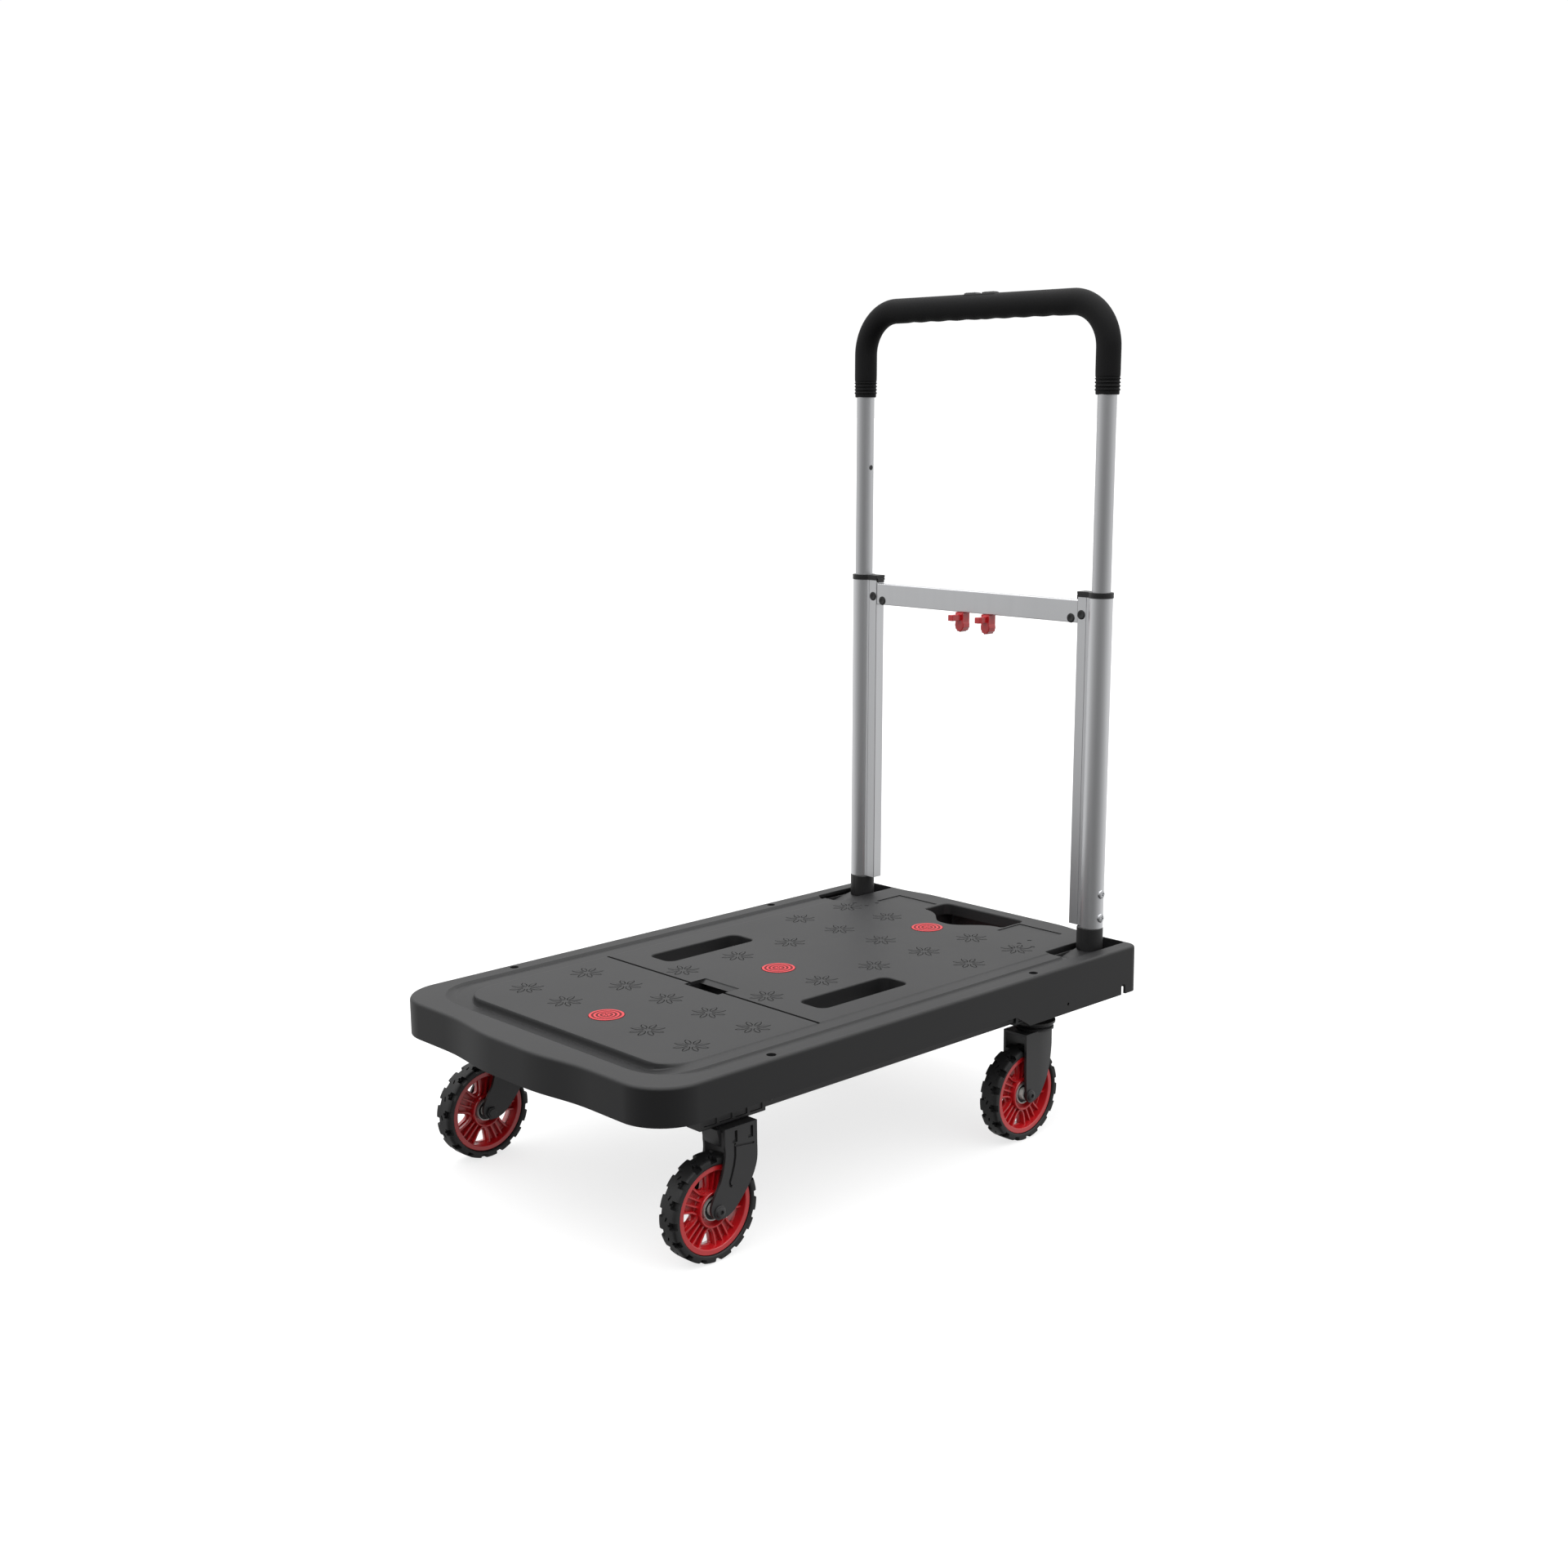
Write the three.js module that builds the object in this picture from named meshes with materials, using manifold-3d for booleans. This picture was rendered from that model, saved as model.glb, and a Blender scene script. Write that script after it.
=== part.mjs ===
// Folding platform cart: moulded deck, telescopic handle that folds flat, and four
// wheels on two side legs that swing in under the deck as the handle goes down.
// Millimetres. +X points to the handle end, +Y across the deck, +Z up.
// The origin is on the floor under the middle of the deck.
import * as THREE from 'three';
import { mergeVertices } from 'three/addons/utils/BufferGeometryUtils.js';
import Module from 'manifold-3d';

const wasm = await Module();
wasm.setup();

// ---------------------------------------------------------------- driving sizes
const gap = 0.3; // between pieces that touch
const runGap = 1.5; // between a turning wheel and its fork
const over = 1; // how far a cutting tool runs past the face it cuts
const sheet = 2.5; // ribs and thin steel

// wheels
const wheelDiameter = 105;
const tyreWidth = 24;
const rimDiameter = 89;
const rimWidth = 20;
const rimFlange = 6;
const hubRadius = 16;
const bearingDiameter = 23;
const axleDiameter = 8;
const boltHead = { radius: 6.7, height: 3.1 };

// legs: each turns about a line along the deck's side
const legPivotInset = 38; // from the deck's side
const legPivotDrop = 27; // below the deck's top
const legReach = 114.5; // pivot line to axle
const wheelOut = 5; // wheel centre outboard of the pivot line
const frontAxleX = -265;
const rearAxleX = 187;
const casterTrail = 25.5; // swivel axis behind the rear axle
const legTube = { size: 17, wall: 2, drop: 24.5 };
const casting = { half: 10, pad: 10.5, drop: 35, padTop: 16, top: 8.7, shoulder: 4.5, crown: 5.8 };
const frontCasting = [-278, -194.4];
const rearCasting = [174, 250];
const castingSpigot = 16;
const forkPlate = 3;
const frontFoot = [7, 49]; // fork's foot, from the axle
const rearFoot = [-7, 39];
const forkNeck = 52; // where a fork starts to narrow, over the axle
const race = { diameter: 46, height: 5.7, stem: 5 };

// deck
const deckWidth = 440;
const frontEdgeX = -351.5;
const rearEdgeX = 355;
const frontBow = { out: 9.2, from: 122, to: 25 };
const rearBow = { out: 5.8, from: 153, to: 96 };
const frontCornerRadius = 50;
const rearCornerRadius = 12;
const skin = 4;
const wall = 3;
const wallDepth = 39;
const rearWallDepth = 53;
const taperX = [144, 166];
const slot = { x: [-67.3, 61.3], y: [103, 140.5], corner: 10, depth: 24 };
const bell = { x: [301.6, 341.8], humpX: 270.4, halfWidth: 62, corner: 8, depth: 13 };
const latchPocket = { x: [-110.7, -79.7], halfWidth: 28.5, depth: 14 };
const medallion = { x: [-236.3, 1.6, 239.7], diameter: 37, thickness: 2.6, proud: 0.6 };
const sideRail = { x: [-245, 207], inset: [5.5, 22.5], thickness: 4 };
const hoopTube = { diameter: 11.5, frontX: -335.3, bend: 45, lap: 8 };
const pivotPin = { diameter: 12, ends: [7, 5.5] };
const carry = { inset: 27, drop: 46, shaft: 10.4, grip: 22, halfGrip: 67, waveDepth: 1.8 };
const rod = { diameter: 9, sleeve: 14, x: [-183, 150], sleeveX: -125, blind: 20, clevis: 10 };

// handle, in its own frame: origin on the hinge line, up along the open rails
const handlePivotX = 278;
const handlePivotDrop = 22;
const handleLean = 1; // degrees back from upright when open
const railInset = 37; // rail axis in from the deck's side
const railOffset = 36; // rail axis behind the hinge line
const railRadius = 13.1;
const railWall = 1.4;
const railFoot = 44.2; // height of the rail's lower end over the hinge line
const railLength = 371.2;
const railFlat = { front: -6.3, back: 7.2, end: -27.6, foot: 3.2 }; // foot: over the tube's end
const socket = { radius: 13.4, bottom: -9, webTop: 20, spigot: 51.4, neck: 18, reach: 3.7 };
const collar = { height: 5.9, rim: 0.8 };
const innerTubeRadius = 10.5;
const innerTubeWall = 1.5;
const innerTubeLap = 165; // inside the rail when drawn out
const gripTop = 734.5; // centre of the top bar
const gripDrop = 99.8; // from there to the grip's ends
const gripSocket = 37.3; // inner tube inside the grip
const gripHalf = { x: 12, y: 14.5 };
const gripBend = 50;
const hingePinDiameter = 10;
const housing = { x: [256.5, 306], plateX: 311, plateInset: 93, sheet: 2, depth: 50, top: 6 };
const crossbar = { drop: 3.6, height: 25.4, half: 5.6 };
const clip = { y: 20, half: 6, depth: 22.3, x: [-6, 6], reach: 14.6, tabDrop: [9.4, 2.4] };
const button = { half: [5.6, 24], height: 6.6, proud: 1.6, travel: 2.5 };

// ---------------------------------------------------------------- worked-out sizes
const wheelRadius = wheelDiameter / 2;
const deckTop = wheelRadius + legReach + legPivotDrop;
const halfWidth = deckWidth / 2;
const swivelX = rearAxleX + casterTrail;
const legPivotY = halfWidth - legPivotInset;
const railY = halfWidth - railInset;
const railTop = railFoot + railLength;
const gripEnd = gripTop - gripDrop;
const housingY = [railY - socket.radius - 0.6 - housing.sheet, railY + socket.radius + 0.6 + housing.sheet];
const cornerOpening = { x: [256, 352], y: [housingY[0] - 3, housingY[1] + 3] };
const halfTyre = tyreWidth / 2 + runGap;
const forkOut = [wheelOut + halfTyre, wheelOut + halfTyre + forkPlate];
const forkIn = [wheelOut - halfTyre - forkPlate, wheelOut - halfTyre];
const foldedWheelY = legPivotY - legReach;
const carryX = rearEdgeX - carry.inset;

// ---------------------------------------------------------------- solid helpers
function toSolid(geometry) {
  const bare = geometry.index ? geometry.clone() : geometry;
  bare.deleteAttribute('normal');
  bare.deleteAttribute('uv');
  const merged = mergeVertices(bare, 1e-4);
  return new wasm.Manifold(new wasm.Mesh({
    numProp: 3,
    vertProperties: new Float32Array(merged.attributes.position.array),
    triVerts: new Uint32Array(merged.index.array),
  }));
}

function toGeometry(solid) {
  const { vertProperties, triVerts } = solid.getMesh();
  const geometry = new THREE.BufferGeometry();
  geometry.setAttribute('position', new THREE.BufferAttribute(vertProperties, 3));
  geometry.setIndex(new THREE.BufferAttribute(triVerts, 1));
  geometry.computeVertexNormals();
  return geometry;
}

const join = (...solids) => solids.reduce((a, b) => a.add(b));
const cut = (base, ...tools) => tools.reduce((a, b) => a.subtract(b), base);

function box([x0, x1], [y0, y1], [z0, z1]) {
  const geometry = new THREE.BoxGeometry(x1 - x0, y1 - y0, z1 - z0);
  geometry.translate((x0 + x1) / 2, (y0 + y1) / 2, (z0 + z1) / 2);
  return toSolid(geometry);
}

// A shape drawn in the plane across an axis, extruded along it: across x the shape's
// own axes are Y and Z, across y they are X and Z, and across z they are X and Y.
const acrossAxis = {
  x: (from) => new THREE.Matrix4().makeBasis(
    new THREE.Vector3(0, 1, 0), new THREE.Vector3(0, 0, 1), new THREE.Vector3(1, 0, 0),
  ).setPosition(from, 0, 0),
  y: (from, to) => new THREE.Matrix4().makeBasis(
    new THREE.Vector3(1, 0, 0), new THREE.Vector3(0, 0, 1), new THREE.Vector3(0, -1, 0),
  ).setPosition(0, to, 0),
  z: (from) => new THREE.Matrix4().makeTranslation(0, 0, from),
};

function slab(axis, shape, from, to, curveSegments = 2) {
  const geometry = new THREE.ExtrudeGeometry(shape, {
    depth: to - from, bevelEnabled: false, curveSegments,
  });
  return toSolid(geometry.applyMatrix4(acrossAxis[axis](from, to)));
}

function disc(u, v, radius) {
  return new THREE.Shape().absarc(u, v, radius, 0, 2 * Math.PI, false);
}

// A cylinder with sides facets.
const round = (axis, [u, v], radius, from, to, sides = 16) => (
  slab(axis, disc(u, v, radius), from, to, sides / 2));

function polygon(points) {
  return new THREE.Shape(points.map(([u, v]) => new THREE.Vector2(u, v)));
}

function roundedRect([u0, u1], [v0, v1], radius) {
  const shape = new THREE.Shape();
  shape.moveTo(u0 + radius, v0);
  shape.lineTo(u1 - radius, v0);
  shape.absarc(u1 - radius, v0 + radius, radius, -Math.PI / 2, 0, false);
  shape.lineTo(u1, v1 - radius);
  shape.absarc(u1 - radius, v1 - radius, radius, 0, Math.PI / 2, false);
  shape.lineTo(u0 + radius, v1);
  shape.absarc(u0 + radius, v1 - radius, radius, Math.PI / 2, Math.PI, false);
  shape.lineTo(u0, v0 + radius);
  shape.absarc(u0 + radius, v0 + radius, radius, Math.PI, 1.5 * Math.PI, false);
  return shape;
}

function along(points, shape, steps) {
  const path = new THREE.CatmullRomCurve3(points.map((p) => new THREE.Vector3(...p)));
  return toSolid(new THREE.ExtrudeGeometry(shape, {
    extrudePath: path, steps, curveSegments: 5, bevelEnabled: false,
  }));
}

// Points of a U in one plane: two legs joined by a bar, with round bends.
function hoopPoints({ legEnd, bar, half, bend, place }) {
  const points = [];
  const sign = Math.sign(bar - legEnd);
  const straight = 6;
  const turns = 6;
  const start = bar - sign * bend;
  for (let i = 0; i < straight; i += 1) {
    points.push([half, legEnd + (start - legEnd) * (i / straight)]);
  }
  for (let i = 0; i <= turns; i += 1) {
    const a = (i / turns) * (Math.PI / 2);
    points.push([half - bend + bend * Math.cos(a), start + sign * bend * Math.sin(a)]);
  }
  const across = 6;
  for (let i = 1; i < across; i += 1) {
    points.push([(half - bend) * (1 - (2 * i) / across), bar]);
  }
  const other = points.slice(0, straight + turns + 1).reverse().map(([y, u]) => [-y, u]);
  return points.concat(other).map(([y, u]) => place(y, u));
}

function mirrored(geometry) {
  const copy = geometry.clone();
  const { position } = copy.attributes;
  for (let i = 0; i < position.count; i += 1) {
    position.setY(i, -position.getY(i));
  }
  const { array } = copy.index;
  for (let i = 0; i < array.length; i += 3) {
    [array[i], array[i + 1]] = [array[i + 1], array[i]];
  }
  copy.computeVertexNormals();
  return copy;
}

// ---------------------------------------------------------------- materials
const finish = (color, roughness, metalness) => (
  new THREE.MeshStandardMaterial({ color, roughness, metalness }));
const blackPlastic = finish(0x2b2b2c, 0.62, 0);
const softBlack = finish(0x1c1c1d, 0.55, 0);
const blackSteel = finish(0x262728, 0.45, 0.4);
const redPlastic = finish(0xc5161c, 0.4, 0);
const aluminium = finish(0xb9bbbd, 0.32, 1);
const brightSteel = finish(0xc9cacb, 0.25, 1);
const tyreRubber = finish(0x1d1e1e, 0.8, 0);
const whitePlastic = finish(0xd8d8d4, 0.5, 0);

// ---------------------------------------------------------------- scene graph
const cart = new THREE.Group();
const sides = [['left', -1], ['right', 1]];

function add(group, name, solid, material, flip = false) {
  const geometry = toGeometry(solid);
  const mesh = new THREE.Mesh(flip ? mirrored(geometry) : geometry, material);
  mesh.name = name;
  group.add(mesh);
  return mesh;
}

function subgroup(parent, x, y, z) {
  const group = new THREE.Group();
  group.position.set(x, y, z);
  parent.add(group);
  return group;
}

const deck = subgroup(cart, 0, 0, deckTop);

// ---------------------------------------------------------------- platform
function platformOutline(inset) {
  const front = frontEdgeX + inset;
  const rear = rearEdgeX - inset;
  const half = halfWidth - inset;
  const rf = frontCornerRadius - inset;
  const rr = rearCornerRadius - inset;
  const frontPull = (frontBow.from - frontBow.to) * 0.4;
  const rearPull = (rearBow.from - rearBow.to) * 0.4;
  const nose = front - frontBow.out;
  const tail = rear + rearBow.out;
  const shape = new THREE.Shape();
  shape.moveTo(front, -(half - rf));
  shape.absarc(front + rf, -(half - rf), rf, Math.PI, 1.5 * Math.PI, false);
  shape.lineTo(rear - rr, -half);
  shape.absarc(rear - rr, -(half - rr), rr, -Math.PI / 2, 0, false);
  shape.lineTo(rear, -rearBow.from);
  shape.bezierCurveTo(
    rear, -rearBow.from + rearPull, tail, -rearBow.to - rearPull, tail, -rearBow.to);
  shape.lineTo(tail, rearBow.to);
  shape.bezierCurveTo(tail, rearBow.to + rearPull, rear, rearBow.from - rearPull, rear, rearBow.from);
  shape.lineTo(rear, half - rr);
  shape.absarc(rear - rr, half - rr, rr, 0, Math.PI / 2, false);
  shape.lineTo(front + rf, half);
  shape.absarc(front + rf, half - rf, rf, Math.PI / 2, Math.PI, false);
  shape.lineTo(front, frontBow.from);
  shape.bezierCurveTo(
    front, frontBow.from - frontPull, nose, frontBow.to + frontPull, nose, frontBow.to);
  shape.lineTo(nose, -frontBow.to);
  shape.bezierCurveTo(
    nose, -frontBow.to - frontPull, front, -frontBow.from + frontPull, front, -frontBow.from);
  return shape;
}

function bellOutline(grow) {
  const half = bell.halfWidth + grow;
  const rear = bell.x[1] + grow;
  const front = bell.x[0] - grow;
  const hump = bell.humpX - grow;
  const corner = bell.corner + grow;
  const chamfer = 3;
  const [base, neck] = [30 + grow, 24 + grow];
  const shape = new THREE.Shape();
  shape.moveTo(front, -half + chamfer);
  shape.lineTo(front + chamfer, -half);
  shape.lineTo(rear - corner, -half);
  shape.absarc(rear - corner, -half + corner, corner, -Math.PI / 2, 0, false);
  shape.lineTo(rear, half - corner);
  shape.absarc(rear - corner, half - corner, corner, 0, Math.PI / 2, false);
  shape.lineTo(front + chamfer, half);
  shape.lineTo(front, half - chamfer);
  shape.bezierCurveTo(front, base, hump, neck, hump, chamfer);
  shape.lineTo(hump, -chamfer);
  shape.bezierCurveTo(hump, -neck, front, -base, front, -half + chamfer);
  return shape;
}

const below = -rearWallDepth - 9; // under everything in the deck
const shallow = -10.5; // ribs over the folded wheels, forks and legs
const deepRib = -wallDepth + sideRail.thickness + 0.8;
const underSkin = -skin / 2; // pieces joined to the skin start inside it

// Both mirror copies of a box given on the right side.
const boxPair = (x, [y0, y1], z) => [box(x, [y0, y1], z), box(x, [-y1, -y0], z)];

function underRibs() {
  const across = [-322, -240, -130, -68.8, -1.5, 62.8, 119, 265];
  const lengthways = [-134, -65, 65, 134];
  const half = halfWidth - over;
  const ribs = [
    ...across.map((x) => box([x, x + sheet], [-half, half], [deepRib, underSkin])),
    ...lengthways.map((y) => box([frontEdgeX, rearEdgeX], [y, y + sheet], [deepRib, underSkin])),
  ];
  const wheelRoom = wheelRadius + 5;
  const wheelY = [foldedWheelY - wheelRoom, foldedWheelY + wheelRoom];
  const forkY = [foldedWheelY, legPivotY - casting.drop + 3];
  const legY = [legPivotY - casting.drop - 3, legPivotY + casting.pad + 4.3];
  const armY = [housingY[0] - 41, housingY[1] + 15];
  const keepClear = [
    ...boxPair([frontAxleX - wheelRoom, frontAxleX + wheelRoom], wheelY, [below, shallow]),
    ...boxPair([rearAxleX - wheelRoom, swivelX + casterTrail + wheelRoom], wheelY, [below, shallow]),
    ...boxPair([frontAxleX + 3, frontAxleX + frontFoot[1] + 4], forkY, [below, shallow]),
    ...boxPair([swivelX - 62, swivelX + 50], forkY, [below, shallow]),
    ...boxPair([frontEdgeX - 20, rearCasting[1] + 1.8], legY, [below, shallow]),
    ...boxPair([rearCasting[1], rearEdgeX + 5], armY, [below, -skin]),
  ];
  const hoopRoom = box(
    [frontEdgeX - 20, frontCasting[0] - 5], [-legY[1], legY[1]],
    [below, -legPivotDrop + hoopTube.diameter / 2 + over]);
  return cut(join(...ribs), hoopRoom, ...keepClear);
}

// Plates that hold a shaft lying along the deck's side at the legs' pivot line.
function pivotPlate(x, thickness, hole) {
  const [y, z] = [legPivotY, -legPivotDrop];
  const eye = 11;
  const profile = polygon([
    [y - eye, underSkin], [y - eye, z - eye / 2], [y - eye / 2, z - eye], [y + eye / 2, z - eye],
    [y + eye - over, deepRib], [halfWidth - over, deepRib], [halfWidth - over, underSkin],
  ]);
  return cut(
    slab('x', profile, x, x + thickness),
    round('x', [y, z], hole, x - over, x + thickness + over, 12),
  );
}

function sideSupports() {
  const plate = 3.5;
  const hoopHole = hoopTube.diameter / 2 + gap;
  const pinHole = pivotPin.diameter / 2 + gap;
  const rodHole = rod.diameter / 2 + gap;
  const plates = join(
    pivotPlate(frontCasting[0] - plate - 0.7, plate, hoopHole),
    pivotPlate(frontCasting[1] + 3, plate, hoopHole),
    pivotPlate(rearCasting[0] - plate - 2.5, plate, pinHole),
    pivotPlate(rearCasting[1] + 1.7, plate, pinHole),
    pivotPlate(-62, 3, rodHole),
    pivotPlate(58, 3, rodHole),
  );
  const seat = -housing.depth + gap;
  const [frontX, backX] = [housing.x[0] + 4, housing.plateX - 6];
  const plateY = halfWidth - housing.plateInset;
  const webY = [housingY[0] - 6.5, housingY[0] - 3.3];
  const shaft = [carryX, -carry.drop];
  const clamp = roundedRect([carryX - 10, carryX + 16], [-carry.drop - 10, -34.5], 4);
  const bracket = join(
    box([housing.x[0], rearEdgeX], webY, [-housing.depth, underSkin]),
    box([frontX, frontX + 3], [plateY, webY[0] + over], [seat, underSkin]),
    box([backX - 3, backX], [plateY, webY[0] + over], [seat, underSkin]),
    box([frontX, backX], [plateY, plateY + 3], [seat, underSkin]),
    slab('y', clamp, webY[0] + 1.5, housingY[1] + over),
    round('y', shaft, carry.shaft / 2 + 3, webY[0] - 12.5, webY[0] + 1.5),
  );
  const bore = round('y', shaft, carry.shaft / 2 + gap, webY[0] - 20, housingY[1] + 11);
  return join(plates, cut(bracket, bore));
}

const flipped = (solid) => toSolid(mirrored(toGeometry(solid)));

function makePlatform() {
  const shell = cut(
    slab('z', platformOutline(0), -rearWallDepth, 0, 4),
    slab('z', platformOutline(wall), -rearWallDepth - over, -skin, 4),
  );
  const lift = polygon([
    [frontEdgeX - 50, -wallDepth], [taperX[0], -wallDepth], [taperX[1], -rearWallDepth],
    [taperX[1], below], [frontEdgeX - 50, below],
  ]);
  const slotShape = (grow) => roundedRect(
    [slot.x[0] - grow, slot.x[1] + grow], [slot.y[0] - grow, slot.y[1] + grow], slot.corner + grow);
  const supports = sideSupports();
  const slotWalls = slab('z', slotShape(wall), -slot.depth, underSkin);
  const pocket = latchPocket;
  const pocketWalls = box(
    [pocket.x[0] - sheet, pocket.x[1] + sheet],
    [-pocket.halfWidth - sheet, pocket.halfWidth + sheet], [-pocket.depth - sheet, underSkin]);
  const medallionRadius = medallion.diameter / 2;
  const body = join(
    shell,
    underRibs(),
    supports,
    flipped(supports),
    slotWalls,
    flipped(slotWalls),
    pocketWalls,
    slab('z', bellOutline(wall), -bell.depth, underSkin),
    ...medallion.x.map((x) => round('z', [x, 0], medallionRadius + wall, -2 * skin, underSkin)),
  );
  const slotHole = slab('z', slotShape(0), below, over);
  const opening = slab('z', roundedRect(cornerOpening.x, cornerOpening.y, 4), below / 2, over);
  const notchHalf = 3.5;
  const notch = slab(
    'y', roundedRect([carryX - notchHalf, carryX + notchHalf], [-80, -carry.drop + 5], notchHalf - 0.1),
    halfWidth - 8, halfWidth + 8);
  const seat = medallion.thickness - medallion.proud + gap;
  return cut(
    body,
    slab('y', lift, -halfWidth - over, halfWidth + over),
    slotHole,
    flipped(slotHole),
    slab('z', bellOutline(0), below, over),
    opening,
    flipped(opening),
    notch,
    flipped(notch),
    box(pocket.x, [-pocket.halfWidth, pocket.halfWidth], [-pocket.depth, over]),
    ...medallion.x.map((x) => round('z', [x, 0], medallionRadius + gap, -seat, over, 32)),
  );
}

add(deck, 'platform', makePlatform(), blackPlastic);

['front', 'middle', 'rear'].forEach((place, i) => {
  const solid = round(
    'z', [medallion.x[i], 0], medallion.diameter / 2,
    medallion.proud - medallion.thickness, medallion.proud, 32);
  add(deck, `medallion_${place}`, solid, redPlastic);
});

// ---------------------------------------------------------------- fixed metalwork
add(deck, 'hoop_tube', along(
  hoopPoints({
    legEnd: frontCasting[1] + hoopTube.lap,
    bar: hoopTube.frontX,
    half: legPivotY,
    bend: hoopTube.bend,
    place: (y, x) => [x, y, -legPivotDrop],
  }),
  disc(0, 0, hoopTube.diameter / 2),
  30,
), blackSteel);

function makeSideRail() {
  const bottom = -wallDepth + 0.5;
  const [outer, inner] = sideRail.inset;
  return box(
    sideRail.x, [halfWidth - inner, halfWidth - outer], [bottom, bottom + sideRail.thickness]);
}

function makePivotPin() {
  return round(
    'x', [legPivotY, -legPivotDrop], pivotPin.diameter / 2,
    rearCasting[0] - pivotPin.ends[0], rearCasting[1] + pivotPin.ends[1], 12);
}

function makeHousing() {
  const [inner, outer] = housingY;
  const plateY = halfWidth - housing.plateInset;
  const floor = [-housing.depth - 3, -housing.depth];
  const cheek = (y) => box(
    housing.x, [y, y + housing.sheet], [-housing.depth - over, -housing.top]);
  const heads = [0.23, 0.8].flatMap((share) => [8, 28].map((inset) => (
    round(
      'z', [housing.x[0] + share * (housing.plateX - housing.x[0]), plateY + inset], 5,
      floor[0] - 2.2, floor[0] + over, 6))));
  return cut(
    join(
      box([housing.x[0], housing.plateX], [plateY, outer], floor),
      cheek(inner),
      cheek(outer - housing.sheet),
      ...heads,
    ),
    round(
      'y', [handlePivotX, -handlePivotDrop], hingePinDiameter / 2 + gap, inner - over, outer + over),
  );
}

function makeHingePin() {
  return round(
    'y', [handlePivotX, -handlePivotDrop], hingePinDiameter / 2, housingY[0] - 2, housingY[1] + 2);
}

function makeSleeve() {
  const line = [legPivotY, -legPivotDrop];
  return cut(
    round('x', line, rod.sleeve / 2, rod.x[0], rod.sleeveX),
    round('x', line, rod.diameter / 2 + gap, rod.x[0] + rod.blind, rod.sleeveX + over),
  );
}

function makePullRod() {
  const line = [legPivotY, -legPivotDrop];
  const end = rod.x[1];
  const half = rod.clevis / 2;
  return join(
    round('x', line, rod.diameter / 2, rod.x[0] + rod.blind + gap, end - rod.clevis + 2, 12),
    box([end - rod.clevis, end], [line[0] - half, line[0] + half], [line[1] - half, line[1] + half]),
  );
}

for (const [side, sign] of sides) {
  const flip = sign < 0;
  add(deck, `side_rail_${side}`, makeSideRail(), blackSteel, flip);
  add(deck, `leg_pivot_pin_${side}`, makePivotPin(), brightSteel, flip);
  add(deck, `handle_housing_${side}`, makeHousing(), blackSteel, flip);
  add(deck, `handle_pin_${side}`, makeHingePin(), brightSteel, flip);
  add(deck, `lock_sleeve_${side}`, makeSleeve(), blackSteel, flip);
  add(deck, `pull_rod_${side}`, makePullRod(), blackSteel, flip);
}

// ---------------------------------------------------------------- carry grip
function lathe(points, segments) {
  const geometry = new THREE.LatheGeometry(
    points.map(([r, y]) => new THREE.Vector2(r, y)), segments);
  return toSolid(geometry);
}

function makeCarryGrip() {
  const waves = 4;
  const steps = waves * 4;
  const points = [];
  for (let i = 0; i <= steps; i += 1) {
    const t = i / steps;
    const r = carry.grip / 2 - (carry.waveDepth / 2) * (1 - Math.cos(2 * Math.PI * waves * t));
    points.push([r, -carry.halfGrip + 2 * carry.halfGrip * t]);
  }
  const bore = carry.shaft / 2 + gap;
  return lathe([[bore, -carry.halfGrip], ...points, [bore, carry.halfGrip], [bore, -carry.halfGrip]], 14);
}

const carryGroup = subgroup(deck, carryX, 0, -carry.drop);
add(carryGroup, 'carry_shaft', round(
  'y', [0, 0], carry.shaft / 2, -housingY[1] + over, housingY[1] - over), blackSteel);
add(carryGroup, 'carry_grip', makeCarryGrip(), redPlastic);

// ---------------------------------------------------------------- handle
const handle = subgroup(cart, handlePivotX, 0, deckTop - handlePivotDrop);
handle.rotation.y = THREE.MathUtils.degToRad(handleLean);

// Section of a handle rail seen from above: a round tube with a flat box on its inner side.
function railOutline(grow) {
  const flat = railFlat;
  const r = railRadius + grow;
  const front = flat.front - grow;
  const back = flat.back + grow;
  const startV = -Math.sqrt(r * r - back * back);
  const endV = -Math.sqrt(r * r - front * front);
  const shape = new THREE.Shape();
  shape.moveTo(railOffset + front, railY + endV);
  shape.lineTo(railOffset + front, railY + flat.end - grow);
  shape.lineTo(railOffset + back, railY + flat.end - grow);
  shape.lineTo(railOffset + back, railY + startV);
  shape.absarc(
    railOffset, railY, r, Math.atan2(startV, back), 2 * Math.PI + Math.atan2(endV, front), false);
  return shape;
}

const railAxis = [railOffset, railY];

function makeRail() {
  const cavity = roundedRect(
    [railOffset + railFlat.front + railWall, railOffset + railFlat.back - railWall],
    [railY + railFlat.end + railWall, railY - railRadius - railWall], 1);
  const notch = box(
    [railOffset - railRadius - over, railOffset + railRadius + over],
    [railY + railFlat.end - over, railY - railRadius - railWall],
    [railFoot - over, railFoot + railFlat.foot]);
  return cut(
    slab('z', railOutline(0), railFoot, railTop, 9),
    round('z', railAxis, railRadius - railWall, railFoot - over, railTop + over),
    slab('z', cavity, railFoot - over, railTop + over, 1),
    notch,
  );
}

function makeArm() {
  const top = railFoot - gap;
  const r = socket.radius;
  const web = polygon([[0, -r], [railOffset, socket.bottom], [railOffset, socket.webTop], [0, r]]);
  const span = [railY - r, railY + r];
  return cut(
    join(
      round('y', [0, 0], r, ...span),
      slab('y', web, ...span),
      round('z', railAxis, r, socket.bottom, top),
      round('z', [railOffset, railY - socket.reach], r, socket.neck, top),
      round('z', railAxis, railRadius - railWall - gap, top - over, railFoot + socket.spigot),
    ),
    round('y', [0, 0], hingePinDiameter / 2 + gap, span[0] - over, span[1] + over),
  );
}

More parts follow.
